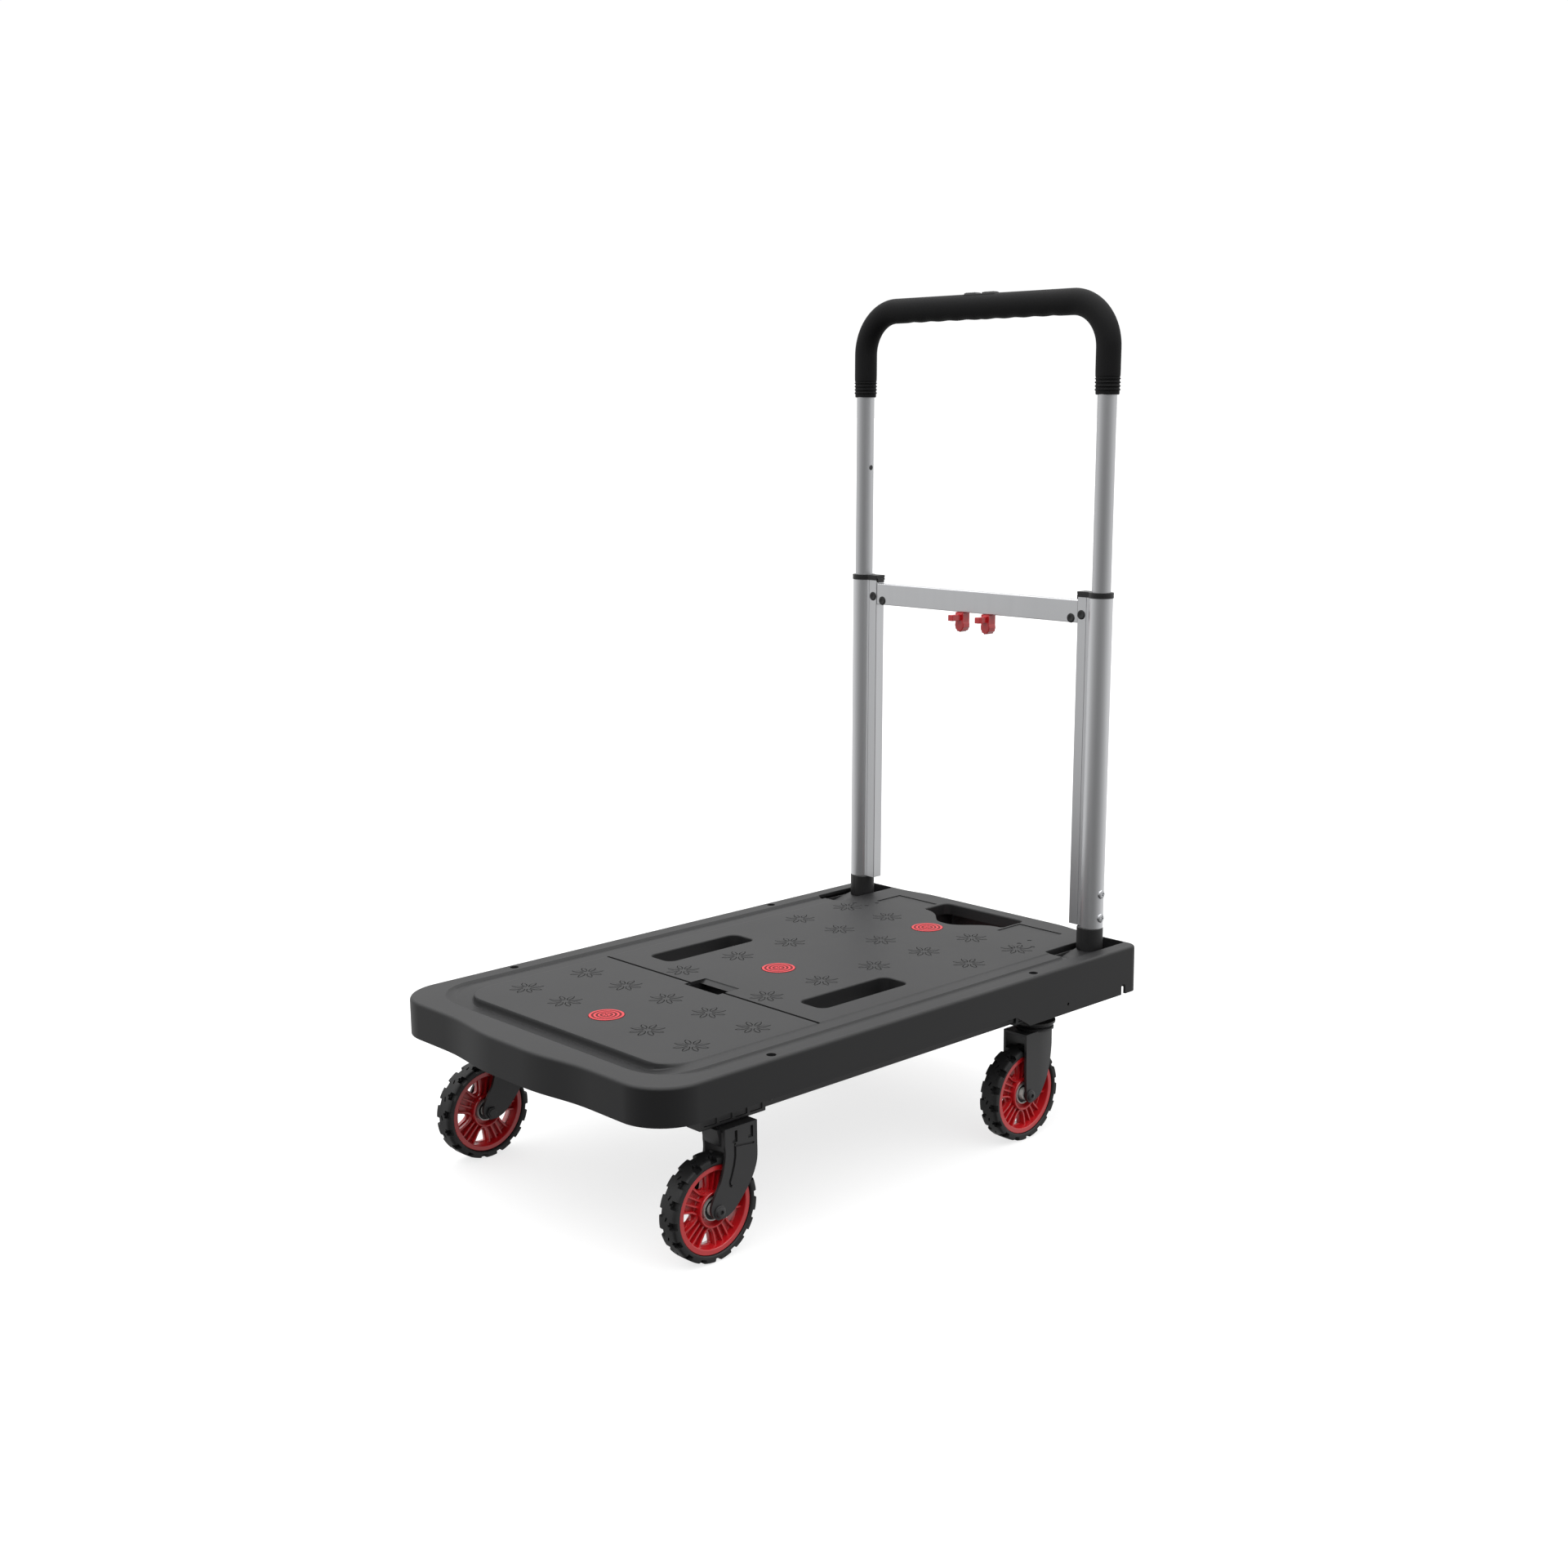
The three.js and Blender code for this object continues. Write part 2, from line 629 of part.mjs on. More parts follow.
function makeCollar() {
  const base = railTop + gap;
  const top = base + collar.height;
  return cut(
    slab('z', railOutline(collar.rim), base, top, 9),
    round('z', railAxis, innerTubeRadius + gap, base - over, top + over),
  );
}

const crossbarZ = [
  railTop - crossbar.drop - crossbar.height,
  railTop - crossbar.drop,
];

function makeCrossbar() {
  const { half } = crossbar;
  const end = railY + railFlat.end - gap;
  const clipRoom = boxPair(
    [railOffset - half + 1.6, railOffset + half - 1.6], [clip.y - 2 * clip.half, clip.y + 2 * clip.half],
    [crossbarZ[0] - over, crossbarZ[0] + crossbar.height / 2]);
  return cut(
    slab('x', roundedRect([-end, end], crossbarZ, 1), railOffset - half, railOffset + half, 1),
    ...clipRoom,
  );
}

// A red latch clip: a stem in the crossbar, a thumb pad under it, and a tongue that
// points forward and drops into the deck's pocket when the handle is down.
function makeClip() {
  const { y, half, depth, reach, tabDrop } = clip;
  const top = crossbarZ[0] - gap;
  const x = clip.x.map((v) => railOffset + v);
  const tip = x[0] - reach;
  const tabZ = [top - tabDrop[0], top - tabDrop[1]];
  const stem = crossbar.half - 2;
  return join(
    slab('x', roundedRect([y - half, y + half], [top - depth, top], half - 1), ...x),
    box([railOffset - stem, railOffset + stem], [y - half + 1, y + half - 1],
      [top - half, crossbarZ[0] + crossbar.height * 0.4]),
    box([tip, x[0] + over], [y - half / 2, y + half / 2], tabZ),
    slab('z', polygon([[tip, y + 2.5], [tip + 4, y + 2.5], [tip + 4, y + half - 0.6]]), ...tabZ),
  );
}

for (const [side, sign] of sides) {
  const flip = sign < 0;
  add(handle, `handle_arm_${side}`, makeArm(), blackPlastic, flip);
  add(handle, `handle_rail_${side}`, makeRail(), aluminium, flip);
  add(handle, `rail_collar_${side}`, makeCollar(), blackPlastic, flip);
  add(handle, `latch_clip_${side}`, makeClip(), redPlastic, flip);
}
add(handle, 'crossbar', makeCrossbar(), aluminium);

// ---------------------------------------------------------------- inner handle
const innerTubeTop = gripEnd + gripSocket;

function makeInnerTube() {
  const low = railTop - innerTubeLap;
  return cut(
    round('z', railAxis, innerTubeRadius, low, innerTubeTop),
    round('z', railAxis, innerTubeRadius - innerTubeWall, low - over, innerTubeTop + over),
  );
}

const buttonTop = gripTop + gripHalf.y + button.proud;
const buttonZ = [buttonTop - button.height, buttonTop];

function makeGrip() {
  const section = new THREE.Shape().absellipse(0, 0, gripHalf.x, gripHalf.y, 0, 2 * Math.PI, false);
  const bar = along(hoopPoints({
    legEnd: gripEnd,
    bar: gripTop,
    half: railY,
    bend: gripBend,
    place: (y, z) => [railOffset, y, z],
  }), section, 34);
  const bore = (s) => round(
    'z', [railOffset, s * railY], innerTubeRadius + gap, gripEnd - over, innerTubeTop + gap);
  const [x, y] = button.half.map((v) => v + gap);
  const pocket = box(
    [railOffset - x, railOffset + x], [-y, y], [buttonZ[0] - button.travel - over, buttonZ[1] + 3]);
  return cut(bar, bore(1), bore(-1), pocket);
}

add(handle, 'handle_grip', makeGrip(), softBlack);
add(handle, 'release_button', slab(
  'z',
  roundedRect(
    [railOffset - button.half[0], railOffset + button.half[0]], [-button.half[1], button.half[1]], 3),
  ...buttonZ,
), blackPlastic);
for (const [side, sign] of sides) {
  add(handle, `inner_tube_${side}`, makeInnerTube(), aluminium, sign < 0);
}

// ---------------------------------------------------------------- legs
// Leg frame: origin on the pivot line, Y outboard, Z up with the wheels down.
function makeLegTube() {
  const half = legTube.size / 2;
  const centre = -legTube.drop;
  const ends = [frontCasting[1] + gap, rearCasting[0] - gap];
  const inner = half - legTube.wall;
  return cut(
    box(ends, [-half, half], [centre - half, centre + half]),
    box(
      [ends[0] - over, ends[1] + over], [-inner, inner], [centre - inner, centre + inner]),
  );
}

function makeCasting([x0, x1], spigotX, bore) {
  const { half, pad, drop, padTop, top, shoulder, crown } = casting;
  const centre = -legTube.drop;
  const spigot = legTube.size / 2 - legTube.wall - gap;
  const profile = polygon([
    [-half, 2 - padTop], [-pad, -padTop], [-pad, -drop], [pad, -drop], [pad, -padTop],
    [half, 2 - padTop], [half, shoulder], [crown, top], [-crown, top], [-half, shoulder],
  ]);
  const spigotEnds = spigotX > x1 ? [x1 - over, spigotX] : [spigotX, x0 + over];
  return cut(
    join(
      slab('x', profile, x0, x1),
      box(spigotEnds, [-spigot, spigot], [centre - spigot, centre + spigot]),
    ),
    round('x', [0, 0], bore, x0 - over, x1 + over),
  );
}

// One fork plate, seen from the side: straight at the top, narrowing to the axle.
function forkShape(axleX, [footFront, footBack], topZ, eye) {
  const shape = new THREE.Shape();
  const z = -legReach;
  const front = axleX + footFront;
  const back = axleX + footBack;
  shape.moveTo(front, topZ);
  shape.lineTo(front, z + forkNeck);
  shape.bezierCurveTo(front, z + forkNeck * 0.6, axleX - eye, z + forkNeck * 0.4, axleX - eye, z);
  shape.absarc(axleX, z, eye, Math.PI, 1.6 * Math.PI, false);
  shape.bezierCurveTo(
    axleX + 2 * eye, z, back, z + forkNeck * 0.35, back, z + forkNeck * 0.9);
  shape.lineTo(back, topZ);
  return shape;
}

function makeFork(axleX, foot, topZ, eye) {
  const shape = forkShape(axleX, foot, topZ, eye);
  return cut(
    join(
      slab('y', shape, ...forkOut),
      slab('y', shape, ...forkIn),
      box([axleX + foot[0], axleX + foot[1]], [forkIn[0], forkOut[1]], [topZ - forkPlate, topZ]),
    ),
    round(
      'y', [axleX, -legReach], axleDiameter / 2 + gap, forkIn[0] - over, forkOut[1] + over),
  );
}

const raceTop = -casting.drop - gap;
const raceBottom = raceTop - race.height;
const yokeTop = raceBottom - gap;

function makeSwivelPlate() {
  const centre = [swivelX, wheelOut];
  return cut(
    round('z', centre, race.diameter / 2, raceBottom, raceTop),
    round('z', centre, race.stem + gap, raceBottom - over, raceTop + over),
  );
}

function makeYoke() {
  const centre = [swivelX, wheelOut];
  return join(
    makeFork(rearAxleX, rearFoot, yokeTop - 2.6, 8.5),
    round('z', centre, race.diameter / 2 - 1.5, yokeTop - 3, yokeTop),
    round('z', centre, race.stem, yokeTop - over, raceTop - 0.5),
  );
}

function makeAxle(axleX) {
  const centre = [axleX, -legReach];
  const { radius, height } = boltHead;
  const [inner, outer] = [forkIn[0] - gap, forkOut[1] + gap];
  return join(
    round('y', centre, axleDiameter / 2, inner - height + 0.2, outer + height - 0.2, 12),
    round('y', centre, radius, outer, outer + height, 12),
    round('y', centre, radius, inner - height, inner, 6),
  );
}

// ---------------------------------------------------------------- wheels
// Wheel frame: origin at the wheel's centre, Y along the axle.
function makeTyre() {
  const half = tyreWidth / 2;
  const inner = rimDiameter / 2;
  const shoulder = 4;
  return lathe([
    [inner, -half], [wheelRadius - shoulder, -half], [wheelRadius, -half + shoulder],
    [wheelRadius, half - shoulder], [wheelRadius - shoulder, half], [inner, half], [inner, -half],
  ], 32);
}

function windowShape(angle) {
  const outer = rimDiameter / 2 - 9;
  const inner = hubRadius + 3;
  const polar = (r, a) => [r * Math.cos(angle + a), r * Math.sin(angle + a)];
  return polygon([
    polar(inner, -0.26), polar(outer, -0.34), polar(outer + 1.5, 0), polar(outer, 0.34),
    polar(inner, 0.26),
  ]);
}

function makeHub() {
  const radius = rimDiameter / 2 - gap;
  const half = rimWidth / 2;
  const web = rimWidth * 0.3;
  const dish = (from, to) => cut(
    round('y', [0, 0], radius - rimFlange, from, to, 32),
    round('y', [0, 0], hubRadius, from - over, to + over));
  const windows = Array.from({ length: 5 }, (unused, i) => slab(
    'y', windowShape(Math.PI / 2 + (i * 2 * Math.PI) / 5), -half, half));
  return cut(
    round('y', [0, 0], radius, -half, half, 32),
    round('y', [0, 0], bearingDiameter / 2 + gap, -half - over, half + over),
    dish(web, half + over),
    dish(-half - over, -web),
    ...windows,
  );
}

function makeBearing() {
  const half = rimWidth / 2 + 0.7;
  return cut(
    round('y', [0, 0], bearingDiameter / 2, -half, half),
    round('y', [0, 0], axleDiameter / 2 + gap, -half - over, half + over, 12),
  );
}

for (const [side, sign] of sides) {
  const flip = sign < 0;
  const leg = subgroup(cart, 0, sign * legPivotY, deckTop - legPivotDrop);
  const hoopBore = hoopTube.diameter / 2 + gap;
  const pinBore = pivotPin.diameter / 2 + gap;
  add(leg, `leg_tube_${side}`, makeLegTube(), blackSteel, flip);
  add(leg, `front_leg_casting_${side}`,
    makeCasting(frontCasting, frontCasting[1] + castingSpigot, hoopBore), blackSteel, flip);
  add(leg, `rear_leg_casting_${side}`,
    makeCasting(rearCasting, rearCasting[0] - castingSpigot, pinBore), blackSteel, flip);
  add(leg, `front_fork_${side}`,
    makeFork(frontAxleX, frontFoot, -casting.drop - gap, 10), blackSteel, flip);
  add(leg, `swivel_plate_${side}`, makeSwivelPlate(), blackSteel, flip);
  add(leg, `swivel_yoke_${side}`, makeYoke(), blackSteel, flip);
  for (const [end, axleX] of [['front', frontAxleX], ['rear', rearAxleX]]) {
    const wheel = subgroup(leg, axleX, sign * wheelOut, -legReach);
    add(leg, `${end}_axle_${side}`, makeAxle(axleX), blackSteel, flip);
    add(wheel, `${end}_tyre_${side}`, makeTyre(), tyreRubber, flip);
    add(wheel, `${end}_hub_${side}`, makeHub(), redPlastic, flip);
    add(wheel, `${end}_bearing_${side}`, makeBearing(), whitePlastic, flip);
  }
}

export default cart;
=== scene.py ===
# Folding platform cart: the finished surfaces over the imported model.
# Shapes are drawn in millimetres in the cart's own frame, with +X to the handle end, +Y across
# the deck, +Z up and the floor at z = 0. They turn into metres when an object is made.
import math

import bpy
from mathutils import Matrix, Vector


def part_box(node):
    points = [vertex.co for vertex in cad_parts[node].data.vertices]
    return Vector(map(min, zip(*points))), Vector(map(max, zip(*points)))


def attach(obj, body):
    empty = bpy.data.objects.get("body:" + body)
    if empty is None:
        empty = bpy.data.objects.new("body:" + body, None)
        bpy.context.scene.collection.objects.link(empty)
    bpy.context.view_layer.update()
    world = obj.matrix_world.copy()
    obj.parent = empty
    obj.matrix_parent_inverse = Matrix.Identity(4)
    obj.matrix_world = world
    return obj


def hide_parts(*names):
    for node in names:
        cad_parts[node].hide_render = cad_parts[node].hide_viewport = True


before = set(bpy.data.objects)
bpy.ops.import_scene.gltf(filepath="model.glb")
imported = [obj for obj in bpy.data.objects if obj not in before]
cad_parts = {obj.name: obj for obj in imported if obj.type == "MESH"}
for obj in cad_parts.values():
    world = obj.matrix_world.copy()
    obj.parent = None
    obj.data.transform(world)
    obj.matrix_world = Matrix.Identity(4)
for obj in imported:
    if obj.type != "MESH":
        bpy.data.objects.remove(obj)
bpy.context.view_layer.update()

MM = 0.001


# ---------------------------------------------------------------- places, from the frame
def span(node):
    """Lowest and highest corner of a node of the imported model, in millimetres."""
    return [Vector(corner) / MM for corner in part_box(node)]


def middle(node):
    low, high = span(node)
    return (low + high) / 2


def half_size(node):
    low, high = span(node)
    return (high - low) / 2


TOP = span("platform")[1].z
HALF_WIDTH = span("platform")[1].y
HINGE = middle("handle_pin_right")
PIVOT = middle("leg_pivot_pin_right")  # the legs turn about a line along X through here
HANDLE_LEAN = 1  # degrees towards the rear
HANDLE = Matrix.Translation((HINGE.x, 0, HINGE.z)) @ Matrix.Rotation(math.radians(HANDLE_LEAN), 4, "Y")
SIDES = {"left": -1, "right": 1}
CLEAR = 0.3  # between pieces that are fitted to each other
OVER = 3  # how far a cutter stands over the deck


# ---------------------------------------------------------------- outlines
def spread(start, end, steps):
    return [start + (end - start) * i / steps for i in range(steps + 1)]


def arc(centre, radius, start, end, steps=8):
    """Points on an arc, from one angle to another in degrees."""
    turns = [math.radians(a) for a in spread(start, end, steps)]
    return [(centre[0] + radius * math.cos(a), centre[1] + radius * math.sin(a)) for a in turns]


def circle(centre, radius, steps=32):
    return arc(centre, radius, 0, 360, steps)[:-1]


def bezier(a, b, c, d, steps=10):
    """Points on a Bezier curve, without its last one."""
    points = []
    for t in spread(0, 1, steps)[:-1]:
        s = 1 - t
        weights = (s ** 3, 3 * s * s * t, 3 * s * t * t, t ** 3)
        points.append(tuple(sum(w * p[k] for w, p in zip(weights, (a, b, c, d))) for k in (0, 1)))
    return points


def eased(points, radius):
    """An outline with its corners cut to short curves."""
    result = []
    for i, corner in enumerate(points):
        at = Vector(corner)
        before, after = Vector(points[i - 1]) - at, Vector(points[(i + 1) % len(points)]) - at
        reach = min(radius, before.length / 2.2, after.length / 2.2)
        a, b = at + before.normalized() * reach, at + after.normalized() * reach
        for t in spread(0, 1, 3):
            near, far = a.lerp(at, t), at.lerp(b, t)
            result.append(tuple(near.lerp(far, t)))
    return result


def rounded_rect(us, vs, radius, steps=6):
    (u0, u1), (v0, v1) = us, vs
    corners = [(u1 - radius, v0 + radius, -90), (u1 - radius, v1 - radius, 0),
               (u0 + radius, v1 - radius, 90), (u0 + radius, v0 + radius, 180)]
    return [p for u, v, a in corners for p in arc((u, v), radius, a, a + 90, steps)]


def rounded_rect_at(us, vs, radius, height):
    return [(u, v, height) for u, v in rounded_rect(us, vs, radius, 3)]


def doubled(side):
    """One side of an outline, and its mirror image on the way back."""
    return side + [(u, -v) for u, v in side[::-1]]


def rounding(radius, steps):
    """A quarter round as (inset, distance from the rim), from the side up to the rim."""
    turns = [math.radians(a) for a in spread(0, 90, steps)] if radius else [0]
    return [(radius * (1 - math.cos(a)), radius * (1 - math.sin(a))) for a in turns]


# ---------------------------------------------------------------- solids: (points, faces)
PLACE = {
    "x": lambda u, v, w: (w, u, v),
    "y": lambda u, v, w: (u, w, v),
    "z": lambda u, v, w: (u, v, w),
}


def outward(points, faces):
    """A solid with all its faces pointing out."""
    volume = 0
    for face in faces:
        a = Vector(points[face[0]])
        for i, j in zip(face[1:], face[2:]):
            volume += a.dot(Vector(points[i]).cross(Vector(points[j])))
    return (points, faces) if volume > 0 else (points, [face[::-1] for face in faces])


def joined(points, faces):
    """Joins points that coincide and drops the faces that this leaves empty."""
    seen, kept, place = {}, [], []
    for point in points:
        key = tuple(round(c, 4) for c in point)
        if key not in seen:
            seen[key] = len(kept)
            kept.append(point)
        place.append(seen[key])
    rings = [[place[i] for i in face] for face in faces]
    rings = [[v for k, v in enumerate(ring) if v != ring[k - 1]] for ring in rings]
    return kept, [ring for ring in rings if len(ring) > 2]


def loft(rings, closed=False):
    """Skins a run of rings of equally many points, capped at its ends unless it is closed."""
    n = len(rings[0])
    points = [tuple(p) for ring in rings for p in ring]
    faces = []
    for i in range(len(rings) if closed else len(rings) - 1):
        a, b = i * n, ((i + 1) % len(rings)) * n
        faces += [[a + j, a + (j + 1) % n, b + (j + 1) % n, b + j] for j in range(n)]
    if not closed:
        faces += [list(range(n))[::-1], list(range(len(points) - n, len(points)))]
    return outward(*joined(points, faces))


def prism(outline, low, high, axis="z"):
    return loft([[PLACE[axis](u, v, w) for u, v in outline] for w in (low, high)])


def soft_prism(outline_at, low, high, axis="z", low_round=0, high_round=0, steps=4):
    """A prism with rounded rims; outline_at(inset) gives its outline moved inwards."""
    levels = [(inset, low + drop) for inset, drop in rounding(low_round, steps)[::-1]]
    levels += [(inset, high - drop) for inset, drop in rounding(high_round, steps)]
    return loft([[PLACE[axis](u, v, w) for u, v in outline_at(inset)] for inset, w in levels])


def block(xs, ys, zs, edge=0):
    """A box, with its edges rounded by edge."""
    def outline(inset):
        us = (xs[0] + inset, xs[1] - inset)
        vs = (ys[0] + inset, ys[1] - inset)
        return rounded_rect(us, vs, max(edge - inset, 0.02), 3)
    if edge:
        return soft_prism(outline, *zs, "z", edge, edge, 3)
    return prism([(xs[0], ys[0]), (xs[1], ys[0]), (xs[1], ys[1]), (xs[0], ys[1])], *zs)


def lathe(profile, axis="y", steps=64):
    """Spins a closed profile of (radius, height) round an axis through the origin."""
    rings = []
    for i in range(steps):
        a = 2 * math.pi * i / steps
        rings.append([PLACE[axis](r * math.cos(a), r * math.sin(a), h) for r, h in profile])
    return loft(rings, closed=True)


def disc(radius, low, high, axis="z", edge=0.5, steps=32):
    """A round plate or bar on an axis through the origin, with rounded rims."""
    return soft_prism(
        lambda inset: circle((0, 0), radius - inset, steps), low, high, axis, edge, edge, 3)


def drill(radius, low, high, axis="z", steps=32):
    """The cutter of a plain hole on an axis through the origin."""
    return disc(radius, low, high, axis, 0.01, steps)


def sweep(path, section, normal, closed=False):
    """Carries a section of (across, along normal) down a path that lies in one plane."""
    path = [Vector(p) for p in path]
    normal = Vector(normal)
    count = len(path)
    rings = []
    for i, point in enumerate(path):
        if closed:
            before, after = path[i - 1], path[(i + 1) % count]
        else:
            before, after = path[max(i - 1, 0)], path[min(i + 1, count - 1)]
        across = (after - before).normalized().cross(normal)
        shape = section(i) if callable(section) else section
        rings.append([point + across * u + normal * v for u, v in shape])
    return loft(rings, closed)


def merge(*shapes):
    points, faces = [], []
    for some_points, some_faces in shapes:
        start = len(points)
        points += some_points
        faces += [[start + i for i in face] for face in some_faces]
    return points, faces


def moved(shape, matrix):
    points, faces = shape
    flips = matrix.determinant() < 0
    return [tuple(matrix @ Vector(p)) for p in points], [f[::-1] for f in faces] if flips else faces


def shifted(shape, x=0, y=0, z=0):
    return moved(shape, Matrix.Translation((x, y, z)))


def turned(shape, degrees, axis="Y"):
    return moved(shape, Matrix.Rotation(math.radians(degrees), 4, axis))


def mirrored(shape):
    return moved(shape, Matrix.Scale(-1, 4, (0, 1, 0)))


def both(shape):
    return merge(shape, mirrored(shape))


def for_side(shape, side):
    """A shape that is drawn for the right side, on the side asked for."""
    return mirrored(shape) if SIDES[side] < 0 else shape


def copies(shape, angles, axis="Y"):
    return merge(*(turned(shape, angle, axis) for angle in angles))


def repeated(shape, places):
    return merge(*(shifted(shape, *place) for place in places))


def to_mesh(name, shape, scale=1.0):
    mesh = bpy.data.meshes.new(name)
    mesh.from_pydata([[c * scale for c in p] for p in shape[0]], [], shape[1])
    return mesh


def in_scene(name, data):
    thing = bpy.data.objects.new(name, data)
    bpy.context.scene.collection.objects.link(thing)
    return thing


def carve(shape, *tools, operation="DIFFERENCE"):
    """Cuts each tool from a shape, or joins or keeps what they share."""
    for tool in tools:
        body = in_scene("body", to_mesh("body", shape))
        blade = in_scene("blade", to_mesh("blade", tool))
        modifier = body.modifiers.new("carve", "BOOLEAN")
        modifier.object = blade
        modifier.operation = operation
        modifier.solver = "MANIFOLD"
        result = body.evaluated_get(bpy.context.evaluated_depsgraph_get()).to_mesh()
        shape = ([tuple(v.co) for v in result.vertices], [list(p.vertices) for p in result.polygons])
        for part in (body, blade):
            mesh = part.data
            bpy.data.objects.remove(part)
            bpy.data.meshes.remove(mesh)
    return shape


def weld(shape, *others):
    return carve(shape, *others, operation="UNION")


def make(name, shape, finish, body, nodes=(), bevel=0.0, sharp=30):
    """Turns a shape into a piece of the cart that rides on a body and stands for CAD nodes."""
    mesh = to_mesh(name, shape, MM)
    piece = in_scene(name, mesh)
    mesh.materials.append(finish)
    mesh.shade_smooth()
    if bevel:
        soften(piece, bevel)
    else:
        mesh.set_sharp_from_angle(angle=math.radians(sharp))
    weigh_normals(piece)
    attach(piece, body)
    if nodes:
        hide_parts(*nodes)
    return piece


def soften(piece, width):
    """Rounds a piece's edges by a width in millimetres."""
    modifier = piece.modifiers.new("rounded edges", "BEVEL")
    modifier.width = width * MM
    modifier.segments = 2
    modifier.limit_method = "ANGLE"
    modifier.angle_limit = math.radians(40)
    modifier.use_clamp_overlap = True


def weigh_normals(piece):
    """Keeps large faces flat where they meet rounded edges."""
    modifier = piece.modifiers.new("weighted normals", "WEIGHTED_NORMAL")
    modifier.keep_sharp = True
    modifier.weight = 80


def srgb(code):
    """Linear colour of an sRGB hex code."""
    channels = [int(code[i:i + 2], 16) / 255 for i in (1, 3, 5)]
    return [c / 12.92 if c <= 0.04045 else ((c + 0.055) / 1.055) ** 2.4 for c in channels] + [1]


def per_metre(size):
    """Scale of a pattern whose grains or waves are size millimetres apart."""
    return 1 / (size * MM)


def add(tree, kind, inputs=None, **settings):
    """Adds a node; an input is a value, or the output that it is linked to."""
    node = tree.nodes.new(kind)
    for key, value in settings.items():
        setattr(node, key, value)
    for key, value in (inputs or {}).items():
        if isinstance(value, bpy.types.NodeSocket):
            tree.links.new(value, node.inputs[key])
        else:
            node.inputs[key].default_value = value
    return node


def finish(name, slot, colours, mottle, roughness, grains, stretch=(1, 1, 1), **shader):
    """A through-coloured material: its colour and gloss drift over mottle millimetres, and each
    of its grains is a bump of (size in mm, strength, depth in mm)."""
    made = bpy.data.materials.new(name)
    made.use_nodes = True
    tree = made.node_tree
    tree.nodes.clear()
    place = add(tree, "ShaderNodeTexCoord").outputs["Object"]
    if stretch != (1, 1, 1):
        place = add(tree, "ShaderNodeMapping", {"Vector": place, "Scale": stretch}).outputs["Vector"]
    drift = add(tree, "ShaderNodeTexNoise", {
        "Vector": place, "Scale": per_metre(mottle), "Detail": 4.0}).outputs["Fac"]
    blend = add(tree, "ShaderNodeMix", {0: drift, 6: srgb(colours[0]), 7: srgb(colours[1])},
                data_type="RGBA")
    gloss = add(tree, "ShaderNodeMapRange", {
        "Value": drift, "To Min": roughness[0], "To Max": roughness[1]})
    normal = None
    for size, strength, depth in grains:
        height = add(tree, "ShaderNodeTexNoise", {
            "Vector": place, "Scale": per_metre(size), "Detail": 2.0})
        bump = {"Height": height.outputs["Fac"], "Strength": strength, "Distance": depth * MM}
        if normal:
            bump["Normal"] = normal
        normal = add(tree, "ShaderNodeBump", bump).outputs["Normal"]
    settings = {key.replace("_", " "): value for key, value in shader.items()}
    bsdf = add(tree, "ShaderNodeBsdfPrincipled", {
        "Base Color": blend.outputs[2], "Roughness": gloss.outputs["Result"], "Normal": normal,
        **settings})
    add(tree, "ShaderNodeOutputMaterial", {"Surface": bsdf.outputs["BSDF"]})
    return made


# Deck: polypropylene from a spark-eroded mould. Its even matt grain greys the black; real grain is
# about 0.15 mm, drawn at 0.9 mm so that it shows.
DECK = finish("moulded polypropylene", "deck_plastic", ("#171718", "#1c1c1d"), 120, (0.46, 0.56),
              [(0.9, 0.2, 0.1)], IOR=1.49, Specular_IOR_Level=0.42)
# Collars, hinge arms, plugs and release button: ABS with a fine satin texture, darker than the deck.
ABS = finish("satin ABS", "black_plastic", ("#121213", "#171718"), 30, (0.4, 0.5),
             [(0.7, 0.15, 0.06)], IOR=1.53)
# Handle bar cover: thermoplastic rubber, close and matt, with a soft broad sheen.
GRIP = finish("soft-touch rubber", "grip_foam", ("#0e0e0f", "#121213"), 45, (0.62, 0.72),
              [(0.8, 0.16, 0.06)], IOR=1.5, Specular_IOR_Level=0.2)
# Forks, leg tubes, castings, brackets and axle bolts: black powder coat, with a slight orange peel
# about 2 mm across.
COAT = finish("black powder coat", "black_steel", ("#262627", "#2f2f30"), 20, (0.36, 0.5),
              [(2.2, 0.18, 0.14), (0.6, 0.1, 0.05)], IOR=1.5)
# Rails and crossbar: extruded aluminium, satin anodised. Faint die lines run up the rails, so
# the pattern is drawn out sixty times along Z; real ones are finer than the 1.2 mm drawn.
ALUMINIUM = finish("satin anodised aluminium", "aluminium", ("#d2d3d5", "#dadbdd"), 14, (0.3, 0.38),
                   [(1.2, 0.05, 0.03)], stretch=(1, 1, 1 / 60), Metallic=1.0)
# Inner tubes: drawn aluminium with a slightly darker anodised skin and the same faint lines.
TUBE = finish("drawn anodised aluminium", "aluminium", ("#c2c3c5", "#cbccce"), 14, (0.32, 0.4),
              [(1.2, 0.05, 0.03)], stretch=(1, 1, 1 / 60), Metallic=1.0)
# Wheel centres, latch clips and carry grip: through-coloured ABS with a semi-gloss skin.
RED = finish("semi-gloss red ABS", "red_plastic", ("#b81119", "#c6151e"), 18, (0.24, 0.34),
             [(1.2, 0.06, 0.05)], IOR=1.53, Coat_Weight=0.8, Coat_Roughness=0.3)
# The medallions' rings: the same ABS in a lighter, flatter red, finely textured.
PALE_RED = finish("matt red ABS", "red_plastic", ("#bf2731", "#c92e38"), 18, (0.5, 0.6),
                  [(0.9, 0.1, 0.06)], IOR=1.53)
